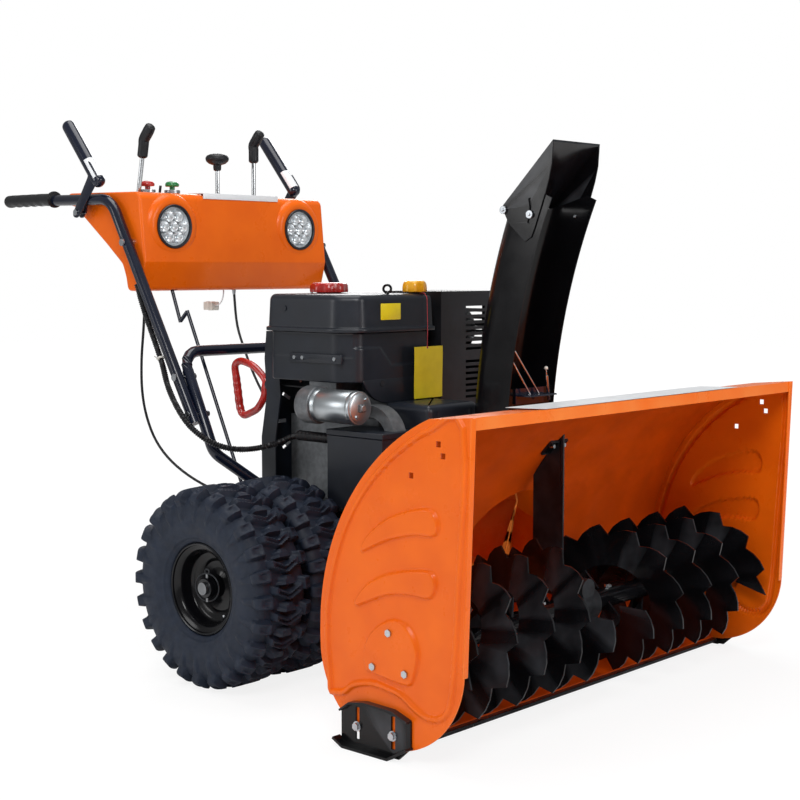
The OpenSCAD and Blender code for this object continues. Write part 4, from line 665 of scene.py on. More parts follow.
def side_limits(y):
    """Lowest and highest Z of a side plate at each Y: circle below, straight front edge, crown and arch above, and
    one point at the rear."""
    h = HOUSE
    under = h["low_r"] ** 2 - (y - h["low_y"]) ** 2
    circle = h["low_z"] - np.sqrt(np.maximum(under, 0))
    foot = math.radians(-175)
    y0, z0 = h["low_y"] + h["low_r"] * math.cos(foot), h["low_z"] + h["low_r"] * math.sin(foot)
    edge = z0 + (y - y0) * (h["top"] - z0) / (h["front"] - y0)
    low = np.where(y < y0, edge, circle)
    crown_y = h["arch_y"] + math.sqrt(h["arch_r"] ** 2 - (h["top"] - h["crown_fall"] - h["arch_z"]) ** 2)
    arch = h["arch_z"] + np.sqrt(np.maximum(h["arch_r"] ** 2 - (y - h["arch_y"]) ** 2, 0))
    crown = h["top"] - (y - h["front"]) * h["crown_fall"] / (crown_y - h["front"])
    high = np.where(y < crown_y, crown, arch)
    rear = y > h["rear"] - 0.2
    return np.where(rear, h["rear_z"], low), np.where(rear, h["rear_z"], np.maximum(high, low))


UPPER_LEAF = [[-581, 353], [-584, 365], [-602, 386], [-639, 413], [-683, 431], [-726, 441], [-745, 438], [-755, 426],
              [-758, 410], [-747, 395], [-701, 391], [-648, 377], [-604, 358], [-585, 349]]
LOWER_LEAF = [[-568, 254], [-568, 266], [-594, 295], [-630, 315], [-675, 329], [-726, 337], [-745, 334], [-753, 319],
              [-750, 301], [-735, 289], [-692, 289], [-648, 283], [-608, 268], [-576, 254]]
BEARING_BOSS = [[-594, 143], [-587, 169], [-594, 197], [-617, 224], [-653, 243], [-683, 240], [-705, 219], [-714, 188],
                [-705, 150], [-692, 134], [-648, 136], [-612, 141]]
EDGE_BEAD = [[-505, 88], [-511, 90], [-538, 95], [-561, 112], [-603, 123], [-639, 121], [-675, 114], [-705, 97],
             [-735, 87], [-768, 96], [-786, 140], [-797, 300], [-807, 579], [-735, 570], [-674, 535], [-620, 491],
             [-574, 438], [-538, 378], [-514, 313], [-499, 244], [-497, 180], [-502, 130]]


def depth_inside(y, z, outline):
    """Distance of each point inside a smooth closed outline, negative outside: the least distance to its edges,
    signed by how many of them a ray along Y crosses."""
    q = spline(np.vstack([outline, outline[:1]]), 4)[:-1]
    p = np.stack([y, z], -1)[..., None, :]
    a, b = q, np.roll(q, -1, 0)
    e = b - a
    t = np.clip(((p - a) * e).sum(-1) / (e * e).sum(-1), 0, 1)
    d = np.linalg.norm(p - a - t[..., None] * e, axis=-1).min(-1)
    py, pz = p[..., 0], p[..., 1]
    rise = np.where(np.abs(e[:, 1]) < 1e-9, 1e-9, e[:, 1])
    cross = ((a[:, 1] > pz) != (b[:, 1] > pz)) & (py < e[:, 0] * (pz - a[:, 1]) / rise + a[:, 0])
    return np.where(cross.sum(-1) % 2 == 1, d, -d)


def plate_relief(y, z, height):
    """Pressed shapes of a side plate: a bead along its edge, two leaves and a boss round the auger bearing."""
    bead = hump(depth_inside(y, z, EDGE_BEAD), 4.5, 4)
    shapes = [step(depth_inside(y, z, o), 1.5, 4.5) for o in (UPPER_LEAF, LOWER_LEAF, BEARING_BOSS)]
    return height * np.maximum.reduce([0.8 * bead, *shapes])


def side_plate(height):
    """A side plate as one grid over its outline, raised by the pressed relief, with the same shapes hollow behind."""
    columns, outer_rows, inner_rows = 240, 250, 108
    even = np.linspace(0, 1, columns)
    eased = (1 - np.cos(np.pi * even)) / 2
    y = HOUSE["front"] + (0.35 * eased + 0.65 * even) * (HOUSE["rear"] - HOUSE["front"])
    low, high = side_limits(y)

    def grid(count, inward):
        """Rows of count points up the plate, moved in by that much."""
        zz = low[:, None] + (high - low)[:, None] * np.linspace(0, 1, count)[None]
        yy = np.repeat(y[:, None], count, 1)
        return np.stack([HOUSE["half"] + plate_relief(yy, zz, height) - inward, yy, zz], -1)
    return skin(np.concatenate([grid(outer_rows, 0), grid(inner_rows, HOUSE["plate"])[:, ::-1]], 1), caps=False)


def folded_front():
    """The side plate's front edge, folded in: a rounded strip that leans forward as it rises."""
    x, foot_y, foot_z, lean = HOUSE["half"], -809.4, 165.5, 15.6
    strip = rounded([[x - 12, foot_y], [x + 0.6, foot_y], [x + 0.6, foot_y + 4], [x - 12, foot_y + 4]], 1.5, 4)
    v, f = prism(strip, ends(foot_z + 0.5, HOUSE["top"] - 1, 2, 3, 4))
    return v + np.array([0, 1.0, 0]) * (foot_z - v[:, 2:]) * lean / (HOUSE["top"] - foot_z), f


class SNOWBLOWER_OT_side_plates(bpy.types.Operator):
    """Side plates with pressed shapes and holes, their folded front edges, and the blank label on the crown."""
    bl_idname = "snowblower.side_plates"
    bl_label = "Side plates"
    bl_options = {"REGISTER", "UNDO"}

    def execute(self, context):
        plate = side_plate(sizes().bead_height / MM)
        holes = [box([520, y - 5, z - 5], [560, y + 5, z + 5], 0.5, "x")
                 for y, z in ((-754, 549), (-764, 530), (-694, 492))]
        fold = folded_front()
        piece("folded_edges", [fold, mirrored(fold)], ["gloss_powder_coat"], "machine", "orange_powder_coat")
        # The label follows the crown's slope
        label = rounded([[-332, -820], [316, -820], [316, -731], [-332, -731]], 4, 5)
        v, f = prism(label, ends(0.05, 0.35, 0.1, 2, 1))
        v = v + np.array([0, 0, 1.0]) * (HOUSE["top"] - (v[:, 1:2] - HOUSE["front"]) * HOUSE["crown_fall"] / 235)
        piece("crown_label", [(v, f)], ["white_vinyl"], "machine", "orange_powder_coat")
        for side in ("left", "right"):
            piece("pressed_plate_" + side, [on_side(side, plate)], ["gloss_powder_coat", "shaded_inner_powder_coat"],
                  "machine", "orange_powder_coat", ["side_plate_" + side], 45, [on_side(side, h) for h in holes])
        return {"FINISHED"}


class SNOWBLOWER_OT_housing(bpy.types.Operator):
    """The curved housing, the impeller drum, the scraper bar, bearings, fasteners and skid shoes."""
    bl_idname = "snowblower.housing"
    bl_label = "Clearing housing"
    bl_options = {"REGISTER", "UNDO"}

    def execute(self, context):
        def inside(c):
            """Faces on the sheet's inner side, by their distance from the centres of the arch and the trough. They get
            the darker orange of painted shade.
            """
            arch = np.hypot(c[:, 1] - HOUSE["arch_y"], c[:, 2] - HOUSE["arch_z"]) < HOUSE["arch_r"] - 1
            trough = np.hypot(c[:, 1] - HOUSE["low_y"], c[:, 2] - HOUSE["low_z"]) < HOUSE["arch_r"] - 2
            return arch & trough & (c[:, 2] < HOUSE["top"] - 2.6)
        # The inner faces of the sheet get the darker orange: painted shade
        refined("auger_housing", ["gloss_powder_coat", "shaded_inner_powder_coat"], 0.7, inside, 24)
        refined("impeller_housing", ["gloss_powder_coat"], 0.7)
        refined("scraper_bar", ["black_powder_coat"], 1.2)
        for node in ("shaft_bearings", "fasteners", "deflector_bolts"):
            refined(node, ["zinc_plate"], 0.5)
        for side in ("right", "left"):
            refined("skid_shoe_" + side, ["black_powder_coat"], 1.1)
        return {"FINISHED"}


class SNOWBLOWER_OT_auger(bpy.types.Operator):
    """Toothed ribbons, gearbox, impeller and belt drive."""
    bl_idname = "snowblower.auger"
    bl_label = "Auger and impeller"
    bl_options = {"REGISTER", "UNDO"}

    def execute(self, context):
        def metals(c):
            """Bronze for the worm wheel in the middle, zinc plate for the pins off the shaft, and steel for it."""
            off_shaft = np.hypot(c[:, 1] - AUGER_SHAFT[0], c[:, 2] - AUGER_SHAFT[1])
            return np.where(np.abs(c[:, 0]) < 14, 1, np.where(off_shaft > 13, 2, 0))
        for side in ("right", "left"):
            refined("auger_" + side, ["black_powder_coat"], 0.9, sharp=26)
        refined("gearbox_case", ["dark_cast"], 1.5)
        refined("gearbox_support", ["black_powder_coat"], 0.8)
        refined("auger_drive", ["turned_steel", "bronze", "zinc_plate"], 0.4, metals)
        refined("impeller", ["gloss_powder_coat"], 0.9)
        refined("impeller_drive", ["turned_steel"], 0.5)
        refined("engine_pulley", ["turned_steel"], 0.5)
        refined("drive_belt", ["tyre_rubber"], 0.8)
        return {"FINISHED"}


# ------------------------------------------------------------------ wheels
# Section as drawn: radius of the bead seat, outer radius, and width; the tread's radius spaces the lugs
SEAT_R, DRAWN_R, DRAWN_W, TREAD_R = 92, 194, 142, 186
STEPS_PER_LUG = 20


def tyre(x, pitches, lug):
    """A tyre as a grid of angle and place across the section: a rounded carcass plus a tread height made of
    shoulder blocks that run down the sidewall as ribs, and centre bars and wedges between them. Outside the bead
    seat it is then scaled to the frame's radius and width."""
    carcass = [[80.6, -38], [81.8, -43.2], [92.8, -45.5], [94, -53], [100, -58.5], [110, -63.5], [124, -66.4],
               [142, -66.6], [156, -64.4], [167, -59.5], [175, -51], [178.6, -41], [180.2, -26], [180.5, 0]]
    half = spline(carcass, 5)
    section = np.vstack([half, half[-2::-1] * [1, -1]])
    tangent = np.gradient(section, axis=0)
    tangent /= np.linalg.norm(tangent, axis=1)[:, None]
    normal = np.stack([tangent[:, 1], -tangent[:, 0]], 1)
    angle = np.linspace(0, 2 * np.pi, STEPS_PER_LUG * pitches, endpoint=False)
    r, w = section[:, 0][None], section[:, 1][None]
    turn = angle[:, None] * pitches / (2 * np.pi)
    aw = np.abs(w)

    def phase(shift):
        """Signed distance along the tread to the nearest of the repeated places, in millimetres."""
        return ((turn + shift + 0.5) % 1 - 0.5) * 2 * np.pi * TREAD_R / pitches
    along = phase(np.where(w > 0, 0.0, 0.5))
    # Shoulder blocks, narrower towards the tread's middle, each with a shallow recess
    block_half = 12.5 - 2.5 * step(-r, -168, 16)
    shoulder = hump(along, block_half, 4) * step(aw, 36, 6) * step(r, 163, 10)
    recess = 0.28 * hump(along, 6, 3) * hump(aw - 49, 6, 4) * step(r, 174, 4)
    # Ribs that carry the blocks down the sidewall and taper towards the bead
    rib_half = 9.5 - 5 * np.clip((164 - r) / 30, 0, 1)
    rib = 0.3 * hump(along, rib_half, 5) * step(r, 138, 16) * step(-r, -168, 8) * (aw > 55)
    # Slanted centre bars, each with a groove, and wedges between them
    bar_at = phase(0.25) + (aw * 0.42 - 5)
    bar = hump(bar_at, 8, 3.6) * step(-aw, -33, 5) * hump(phase(0.25), 30, 4)
    groove = 0.4 * hump(bar_at, 2.4, 2.4) * step(-aw, -22, 4)
    wedge_at = phase(0.75)
    wedge = hump(wedge_at, 9, 3.6) * step(12 + wedge_at * 0.6 - aw, 0, 4)
    # One raised ring round the lower sidewall
    ring = np.broadcast_to(0.10 * hump(r - 104, 1.6, 1.8) * (aw > 50), shoulder.shape)
    height = lug * np.maximum.reduce([shoulder - recess, rib, bar - groove, wedge, ring])
    rr = r + normal[None, :, 0] * height
    ww = w + normal[None, :, 1] * height
    grow, widen = (WHEEL_R - SEAT_R) / (DRAWN_R - SEAT_R), (TYRE_W - DRAWN_W) / 2
    limit = DRAWN_W / 2 - 0.2
    ww = np.clip(ww, -limit, limit) + widen * np.sign(ww) * step(rr, 112, 30)
    rr = np.where(rr > SEAT_R, SEAT_R + (np.minimum(rr, DRAWN_R - 0.1) - SEAT_R) * grow, rr)
    c, s = np.cos(angle)[:, None], np.sin(angle)[:, None]
    grid = np.stack([x + ww, WHEEL[0] + rr * c, WHEEL[1] + rr * s], -1)
    liner = np.array([[82, -35], [94, -40], [102, -52], [124, -60], [158, -58], [172, -44], [174, 0]])
    liner = np.vstack([liner, liner[-2::-1] * [1, -1]])[::-1]
    inner = np.stack(np.broadcast_arrays(x + liner[None, :, 1], WHEEL[0] + liner[None, :, 0] * c,
                                         WHEEL[1] + liner[None, :, 0] * s), -1)
    return skin(np.concatenate([grid, inner], 1), close_u=True)


def rim(x):
    """A pressed wheel disc: its half section turned round the axle, with the dish on the side that faces out."""
    barrel = [[92, -52], [92.6, -47], [88, -45], [80.5, -43], [77, -38], [76, -20], [76, 20], [77, 38], [80.5, 43],
              [88, 45], [92.6, 47], [92, 52.6], [90, 54], [87.6, 52.8], [86.6, 49.5], [79, 46.8], [75.5, 43],
              [73.4, 34], [72.6, 20]]
    dish = [[70, 15.6], [66, 14], [58, 13], [53.5, 10.5], [50, 5.5], [38, 4.6], [30, 6.5], [23.5, 10], [20.5, 18]]
    hub = [[20, 42.4], [18.8, 44], [12.9, 44], [12.9, -44], [20, -44], [20, 1.6]]
    back = [[30, 2.4], [50, 2], [56, 6.6], [66, 10], [73, 10], [73, -21], [78, -47], [88, -50], [88, -52]]
    return lathe(barrel + dish + hub + back, (x, *WHEEL), "x", 96, loop=True)


class SNOWBLOWER_OT_wheels(bpy.types.Operator):
    """Four lugged tyres on their dished rims."""
    bl_idname = "snowblower.wheels"
    bl_label = "Wheels"
    bl_options = {"REGISTER", "UNDO"}

    def execute(self, context):
        s = sizes()
        pair = [tyre(x, s.lug_pitches, s.lug_height / MM) for x in TYRE_X]
        for side in ("left", "right"):
            piece("lugged_tyres_" + side, [on_side(side, p) for p in pair], ["tyre_rubber"], "axle", "tyre_rubber",
                  ["tyres_" + side], 50)
        discs = [rim(x) for x in TYRE_X]
        stud, stud_circle = [[0, 0], [3.2, 0], [3.2, 2.6], [2.4, 3.4], [0, 3.6]], 62
        for a in (3.9, 4.3):
            at = (TYRE_X[1] + 13, WHEEL[0] + stud_circle * math.cos(a), WHEEL[1] + stud_circle * math.sin(a))
            discs.append((*lathe(stud, at, "x", 14), 1))
        piece("dished_rims", discs + [mirrored(d) for d in discs], ["black_powder_coat", "zinc_plate"], "axle",
              "black_powder_coat", ["rims"], 40)
        return {"FINISHED"}


class SNOWBLOWER_OT_running_gear(bpy.types.Operator):
    """The axle with its cast hubs, and the tractor frame round it."""
    bl_idname = "snowblower.running_gear"
    bl_label = "Axle and tractor frame"
    bl_options = {"REGISTER", "UNDO"}

    def execute(self, context):
        def cast(c):
            """Faces off the shaft and away from the middle of the machine."""
            return np.hypot(c[:, 1] - WHEEL[0], c[:, 2] - WHEEL[1]) * (np.abs(c[:, 0]) > 100) > 12.8
        refined("wheel_axle", ["turned_steel", "dark_cast"], 0.6, cast)
        refined("tractor_frame", ["black_powder_coat"], 1.0)
        return {"FINISHED"}


# ------------------------------------------------------------------ handles
def grip(side):
    """A moulded grip: radius from angle and length, slightly oval, with five finger hollows below, fine ribs above
    and a guard flange in front."""
    nose = 820 + 5 * np.sin(np.linspace(0.2, np.pi / 2, 6))
    y = np.concatenate([np.linspace(633, 642, 8), np.linspace(643, 820, 90), nose])
    t = np.linspace(0, 2 * np.pi, 40, endpoint=False)
    yy, tt = y[:, None], t[None]
    finger_pitch, rib_pitch = 31, 4.2
    body = 15.6 + 0.9 * np.cos(2 * tt)
    below = np.clip(-np.sin(tt), 0, 1) ** 1.5
    wave = 0.5 - 0.5 * np.cos((yy - 655) * 2 * np.pi / finger_pitch)
    hollow = 2.6 * below * wave * step(yy, 660, 12) * step(-yy, -808, 8)
    flange = 4.6 * hump(yy - 635.5, 2.5, 2.0)
    ribs = 0.35 * np.cos(yy * 2 * np.pi / rib_pitch) * np.clip(np.sin(tt), 0, 1) * hump(yy - 735, 70, 6)
    r = (body - hollow + flange + ribs) * np.sqrt(np.clip(1 - ((yy - 817) / 8.2).clip(0, 1) ** 2, 0.02, 1))
    return skin(np.stack(np.broadcast_arrays(side * HANDLE_X + r * np.cos(tt), yy, GRIP_Z + r * np.sin(tt)), -1))


def hand_lever(x, foot, top, tip):
    """A chrome rod in a smooth grip that leans forward at its tip: a tube whose radius swells along its length."""
    foot, top, tip = (np.array([x, *p], float) for p in (foot, top, tip))
    d = (top - foot) / np.linalg.norm(top - foot)
    rod_path = [foot, top + d * 10]
    elbow = top + d * 36
    path = spline([top, top + d * 12, top + d * 24, elbow, elbow * 0.45 + tip * 0.55, tip], 12)
    s = np.concatenate([[0], np.cumsum(np.linalg.norm(np.diff(path, axis=0), axis=1))])
    s /= s[-1]
    # The grip swells over its upper half and narrows again at its end
    r = 11.8 + 0.9 * step(s, 0.5, 0.5) - 0.8 * step(s, 0.94, 0.12)
    hinge = lathe([[0, -7], [10.4, -7], [11, -6], [11, 6], [10.4, 7], [0, 7]], foot, "x", 28)
    return [tube(rod_path, 5, 20), (*tube(path, r, 24, ref=(1, 0, 0), dome=7), 1), hinge]


def clutch_lever():
    """A bent plate beside the handle and a slanted hand tube with domed ends and a small blank label."""
    low, tip = np.array([CLUTCH_X, 458, 1032.0]), np.array([CLUTCH_X, 566, 1160.0])
    d = (tip - low) / np.linalg.norm(tip - low)
    plate = rounded([[516, 958], [526, 950], [540, 953], [542, 962], [482, 1044], [492, 1077], [476, 1077],
                     [446, 1040], [449, 1026], [458, 1021]], 7, 6)
    bar = tube([low, *(low + d * k for k in (30, 60, 90, 120)), tip], 15.4, 32, ref=(1, 0, 0), dome=13.4)
    # Label: a patch wrapped round the front of the bar, as angles from its front against lengths along it
    turn, along = np.meshgrid(np.linspace(-1.3, 1.3, 16), np.linspace(4, 58, 4))
    front = np.cross([1, 0, 0], d)
    ring = np.cos(turn)[..., None] * front + np.sin(turn)[..., None] * np.array([1.0, 0, 0])
    film = skin(low + along[..., None] * d + 15.6 * ring, close_v=False)
    return [prism(plate, ends(313.3, 316.3, 0.8, 3, 1), "x"), bar, (*film, 1)]


class SNOWBLOWER_OT_handles(bpy.types.Operator):
    """Handle tubes and their moulded grips."""
    bl_idname = "snowblower.handles"
    bl_label = "Handles and grips"
    bl_options = {"REGISTER", "UNDO"}

    def execute(self, context):
        for node in ("upper_handle_right", "upper_handle_left", "lower_handle"):
            refined(node, ["tube_powder_coat"], 0.5, sharp=40)
        piece("moulded_grips", [grip(1), grip(-1)], ["grip_rubber"], "machine", "grip_rubber", ["grips"], 50)
        return {"FINISHED"}


class SNOWBLOWER_OT_levers(bpy.types.Operator):
    """Clutch levers, hand levers and the shift rod."""
    bl_idname = "snowblower.levers"
    bl_label = "Levers"
    bl_options = {"REGISTER", "UNDO"}

    def execute(self, context):
        for side in ("left", "right"):
            piece("clutch_bar_" + side, [on_side(side, p) for p in clutch_lever()],
                  ["tube_powder_coat", "white_vinyl"], "clutch_" + side, "tube_powder_coat",
                  ["clutch_lever_" + side])
        piece("speed_hand_lever", hand_lever(SPEED_LEVER_X, (417, 900), (381, 1089), (352, 1150)),
              ["chrome_plate", "grip_rubber"], "speed_arm", "grip_rubber", ["speed_lever"])
        piece("chute_hand_lever", hand_lever(CHUTE_LEVER_X, (356, 900), (354, 1092), (332, 1154)),
              ["chrome_plate", "grip_rubber"], "chute_arm", "grip_rubber", ["chute_lever"])
        refined("shift_rod", ["tube_powder_coat"], 0.4)
        return {"FINISHED"}


# ------------------------------------------------------------------ console
CONSOLE = [[340, 785], [386, 785], [392, 815], [404, 845], [462, 891], [547, 954], [572, 976], [606, 984],
           [606, 1010], [350, 1006], [338, 996], [323, 850]]


def face_y(z):
    """Front face of the console at a height: the straight line between the last two points of its outline."""
    (y1, z1), (y0, z0) = CONSOLE[-2:]
    return y0 + (y1 - y0) * (z - z0) / (z1 - z0)


def on_face(profile, x, z, sides, loop=True):
    """Rows of (radius, depth behind the console's face at the lamps) turned round an axis along Y."""
    return lathe(np.array(profile) + [0, face_y(LAMP[1])], (x, 0, z), "y", sides, loop=loop)


def boss(x):
    """Raised ring pressed round a lamp: a quarter-round rise, a flat land and a rolled inner edge."""
    ring = [[74, 5], [71, 1.2], [67, -2.6], [62.5, -5], [58, -6], [53, -6.2], [49.6, -5.4], [47.4, -3], [47, 4],
            [47, 14], [74, 14]]
    return on_face(ring, x, LAMP[1], 72)


def lamp(x):
    """A work lamp: black bezel and metallised bowl with seven deep cups, each round a small clear lens."""
    z = LAMP[1]
    bezel = [[43.6, 26], [43.6, -5], [44.2, -8.6], [46, -9.6], [48.4, -9.4], [49.4, -8], [49.2, -5.6], [46.2, -4.8],
             [46.2, 29.5], [0.1, 29.8], [0.1, 26]]
    bowl = [[43.4, -3.6], [42, 2], [38, 9], [30, 13], [18, 14.5], [0.1, 15], [0.1, 17], [43.4, 17]]
    cup = [[11.6, -3], [12.6, -3.2], [12.8, -2], [12.8, 12], [0.1, 13], [0.1, 11], [3, 10.2], [7, 6], [10.4, 1]]
    bead = [[0, 2.6], [2.4, 3], [3.8, 4.6], [4, 8], [0, 8.4]]
    parts = [on_face(bezel, x, z, 64), (*on_face(bowl, x, z, 64), 1)]
    angles, cup_circle = np.radians(np.arange(0, 360, 60)), 26
    for cx, cz in [(0, 0), *zip(cup_circle * np.cos(angles), cup_circle * np.sin(angles))]:
        parts.append((*on_face(cup, x + cx, z + cz, 24), 1))
        parts.append((*on_face(bead, x + cx, z + cz, 16, False), 2))
    return parts


class SNOWBLOWER_OT_console(bpy.types.Operator):
    """The folded console with its holes for lamps, levers and buttons."""
    bl_idname = "snowblower.console"
    bl_label = "Console"
    bl_options = {"REGISTER", "UNDO"}

    def execute(self, context):
        half, edge = 284, sizes().edge_round / MM
        outline = rounded(CONSOLE, [11, 11, 6, 8, 10, 10, 10, 12, 12, 12, 9, 2], 6)
        body = prism(outline, ends(-half, half, edge, 6, 3), "x")
        cutters = [lathe([[0, 300], [46.6, 300], [46.6, 366], [0, 366]], (x, 0, LAMP[1]), "y", 48)
                   for x in (-LAMP[0], LAMP[0])]
        # Slots for the speed lever and the chute lever with the knob
        cutters += [box([SPEED_LEVER_X - 8, 352, 960], [SPEED_LEVER_X + 8, 448, 1030], 3, "z"),
                    box([-95, 345, 960], [130, 415, 1030], 2, "z")]
        cutters += [lathe([[0, 950], [14.5, 950], [14.5, 1030], [0, 1030]], (*at, 0), "z", 32)
                    for at in (STOP_BUTTON, START_BUTTON)]
        # Slot for the lamp switch, and the opening in the floor behind it
        cutters += [box([-194, 378, 960], [-182, 396, 1030], 1.5, "z"),
                    box([-194, 342, 770], [-176, 376, 800], 1, "z")]
        piece("folded_console", [body], ["gloss_powder_coat", "shaded_inner_powder_coat"], "machine",
              "orange_powder_coat", ["console"], 34, cutters)
        return {"FINISHED"}


class SNOWBLOWER_OT_lamps(bpy.types.Operator):
    """Two work lamps in their raised bosses."""
    bl_idname = "snowblower.lamps"
    bl_label = "Lamps"
    bl_options = {"REGISTER", "UNDO"}

    def execute(self, context):
        piece("lamp_bosses", [boss(-LAMP[0]), boss(LAMP[0])], ["gloss_powder_coat"], "machine",
              "orange_powder_coat", (), 40)
        piece("work_lamps", lamp(-LAMP[0]) + lamp(LAMP[0]), ["moulded_nylon", "reflector", "lens"],
              "machine", "lamp_parts", ["lamps"], 40)
        return {"FINISHED"}


class SNOWBLOWER_OT_controls(bpy.types.Operator):
    """The lever gate, the chute knob, the stop and start buttons and the lamp switch."""
    bl_idname = "snowblower.controls"
    bl_label = "Gate, knob and buttons"
    bl_options = {"REGISTER", "UNDO"}

    def execute(self, context):
        def gate(c):
            """Faces of the lever gate, on top of the console."""
            return (c[:, 0] > -101) & (c[:, 0] < 136) & (c[:, 2] > 1007)
        refined("console_fittings", ["zinc_plate", "white_vinyl"], 0.5, gate)
        lip = box([-100, 337.2, 995.5], [135, 339.4, 1009], 0.8, "x")
        piece("gate_lip", [lip], ["white_vinyl"], "machine", "zinc_plated_steel")
        cap = [[0, 1064], [5, 1064], [8.6, 1066.4], [9.4, 1070], [9.6, 1078], [12, 1078.6], [20, 1081.6], [26, 1087],
               [27.6, 1092], [27.2, 1096], [24, 1100.4], [17, 1103.4], [9, 1104.8], [0, 1105]]
        stem = [[0, 924], [9, 924], [9, 930.5], [5, 930.5], [5, 1066], [0, 1066]]
        piece("mushroom_knob", [lathe(cap, (*KNOB, 0), "z", 48), (*lathe(stem, (*KNOB, 0), "z", 24), 1)],
              ["grip_rubber", "chrome_plate"], "knob", "grip_rubber", ["chute_knob"], 40)
        button = [[0, 982], [11, 982], [11, 985.5], [6, 985.5], [6, 1021.4], [14.6, 1022], [15.8, 1023.4], [16, 1026],
                  [15.4, 1029.4], [13, 1032.2], [8, 1033.7], [0, 1034]]
        for node, at, finish_name, body, slot in (
                ("stop_button", STOP_BUTTON, "red_abs", "stop_key", "red_plastic"),
                ("start_button", START_BUTTON, "green_abs", "start_key", "green_plastic")):
            piece(node + "_cap", [lathe(button, (*at, 0), "z", 40)], [finish_name], body, slot, [node], 40)
        refined("lamp_switch", ["moulded_nylon"], 0.5)
        return {"FINISHED"}


# ------------------------------------------------------------------ engine
def cut_plan(a, b, c):
    """Plan of a cover between two corners with its front right corner cut off."""
    return [[a[0] + c, a[1]], [b[0], a[1]], [b[0], b[1]], [a[0] + 14, b[1]], [a[0], b[1] - 14], [a[0], a[1] + c * 1.4]]


def shoulder(base, radius, steps, inset=0.0):
    """Rows of (height, inset) over a rounded upper edge that starts at base: a quarter circle less its first part."""
    a = np.linspace(0.15, np.pi / 2, steps)
    return np.stack([base + radius * np.sin(a), inset + radius * (1 - np.cos(a))], 1)


def fluted(depth, low, high):
    """Wave for a lathe: eight flutes as deep as that share of the radius, between two heights."""
    return lambda t, h: 1 + depth * np.cos(8 * t) * step(-h, -high, 8) * step(h, low, 3)


def tank_parts():
    """Tank: a stepped foot, walls that lean in and a rounded top on a cut plan, with seat, neck, plug and sticker."""
    plan = refine(rounded(cut_plan((-200, -230), (70, 34), 36), 16, 6), 8)
    foot = [[704, 3], [704.4, 0.8], [705.5, 0], [711, 0], [712, 0.8], [712.6, 3], [713, 5], [714, 5.6]]
    wall = [[z, 5.6 + (z - 714) * 0.055] for z in np.linspace(717, 768, 10)]
    tank = prism(plan, np.vstack([foot, wall, shoulder(768, 14, 7, 8.6)]))
    seat = lathe([[22, 781], [27, 781], [27, 787], [26, 788], [22, 788]], (*FUEL_CAP, 0), "z", 40, loop=True)
    neck = lathe([[0, 778], [15, 778], [14, 784], [13, 785], [0, 785]], (*OIL_CAP, 0), "z", 32)
    plug = lathe([[0, 0], [6, 0], [6, 1.4], [4.6, 2.4], [0, 2.4]], (-194.6, -30, 752), "x", 20)
    sticker = box([-103, -224.0, 729], [-42, -223.2, 763], 1.2, "y")
    return [tank, seat, neck, plug, (*sticker, 1)]


def cover_parts():
    """Engine cover with its bolted arm, a lobe that hangs from its front, and a thin black disc and slot shape on its
    face: painted shade for a round opening and a slot.
    """
    def proud(x, y, z):
        """How far the cover stands out: its lower part by 2.2 mm in front, below a line that falls in three
        stretches, and by 0.9 mm elsewhere."""
        line = np.interp(x, [-150, -96, -60, 20], [672, 672, 634, 634])
        return np.where(y < -205, 2.2 * step(line - z, 0, 2.5) - 2.2, 0.9 * step(652 - z, 0, 2) - 0.9)
    plan = refine(rounded(cut_plan((-188, -216), (62, 28), 30), 14, 6), 3.5)
    shell = prism(plan, ends(600.4, 703.6, 3, 4, 44), relief=proud)
    arm = box([-193, -196, 640], [-186, -44, 659], 1.2, "x")
    bolt = [[0, -196], [4.4, -196], [5, -195], [5, -190], [0, -190]]
    bolts = [(*lathe(bolt, (0, y, 650), "x", 6), 1) for y in (-60, -84, -178)]
    hanging = rounded([[-152, 606], [64, 606], [62, 584], [40, 562], [18, 554], [-84, 554], [-118, 566], [-140, 588]],
                      12, 5)
    lobe = prism(hanging, ends(-216.4, -208, 1.6, 4, 1), "y")
    # Painted shade: a thin black disc and slot shape laid on the cover stand for a round opening and a slot
    opening = lathe([[0, -217.4], [7, -217.4], [7, -216], [0, -216]], (-90, 0, 596), "y", 28)
    slot = prism(rounded([[14, 652], [40, 652], [40, 660], [14, 660]], 4, 5), ends(-219, -216.2, 0.3, 2, 1), "y")
    return [shell, arm, lobe, *bolts, (*slot, 2), (*opening, 2)]


def starter_parts():
    """Starter: a plated can with its studs, and its cast end boss, gear housing, pinion nose and foot."""
    x, z = STARTER
    can = [[0, -274], [5.6, -274], [6, -273], [6, -266.4], [27, -266.2], [29.8, -265], [30.4, -262.4], [33.6, -262],
           [34.5, -260.4], [34.5, -252], [33.9, -251], [33.9, -249.6], [34.5, -248.6], [34.5, -163], [33.9, -162],
           [33.9, -160.6], [34.5, -159.6], [34.5, -150], [0, -150]]
    gear = [[0, -149.8], [38.4, -149.8], [39.5, -148.6], [39.5, -118], [37, -110], [30, -104.4], [0, -104]]
    nose = [[0, -106], [17, -106], [16.4, -86], [14, -82.4], [0, -82]]
    stud, stud_circle = [[0, -270], [3.4, -270], [3.8, -269], [3.8, -264], [0, -264]], 22
    studs = [lathe(stud, (x + stud_circle * math.cos(a), 0, z + stud_circle * math.sin(a)), "y", 6)
             for a in (0.9, 4.04)]
    end_boss = box([x - 8, -272, z - 8], [x + 8, -263, z + 8], 1.6, "y")
    foot = box([-206, -146, 524], [-150.4, -108, 584], 4, "y")
    return [lathe(can, (x, 0, z), "y", 64), *studs, (*end_boss, 1), (*lathe(gear, (x, 0, z), "y", 56), 1),
            (*lathe(nose, (-187, 0, 569), "y", 32), 1), (*foot, 1)]


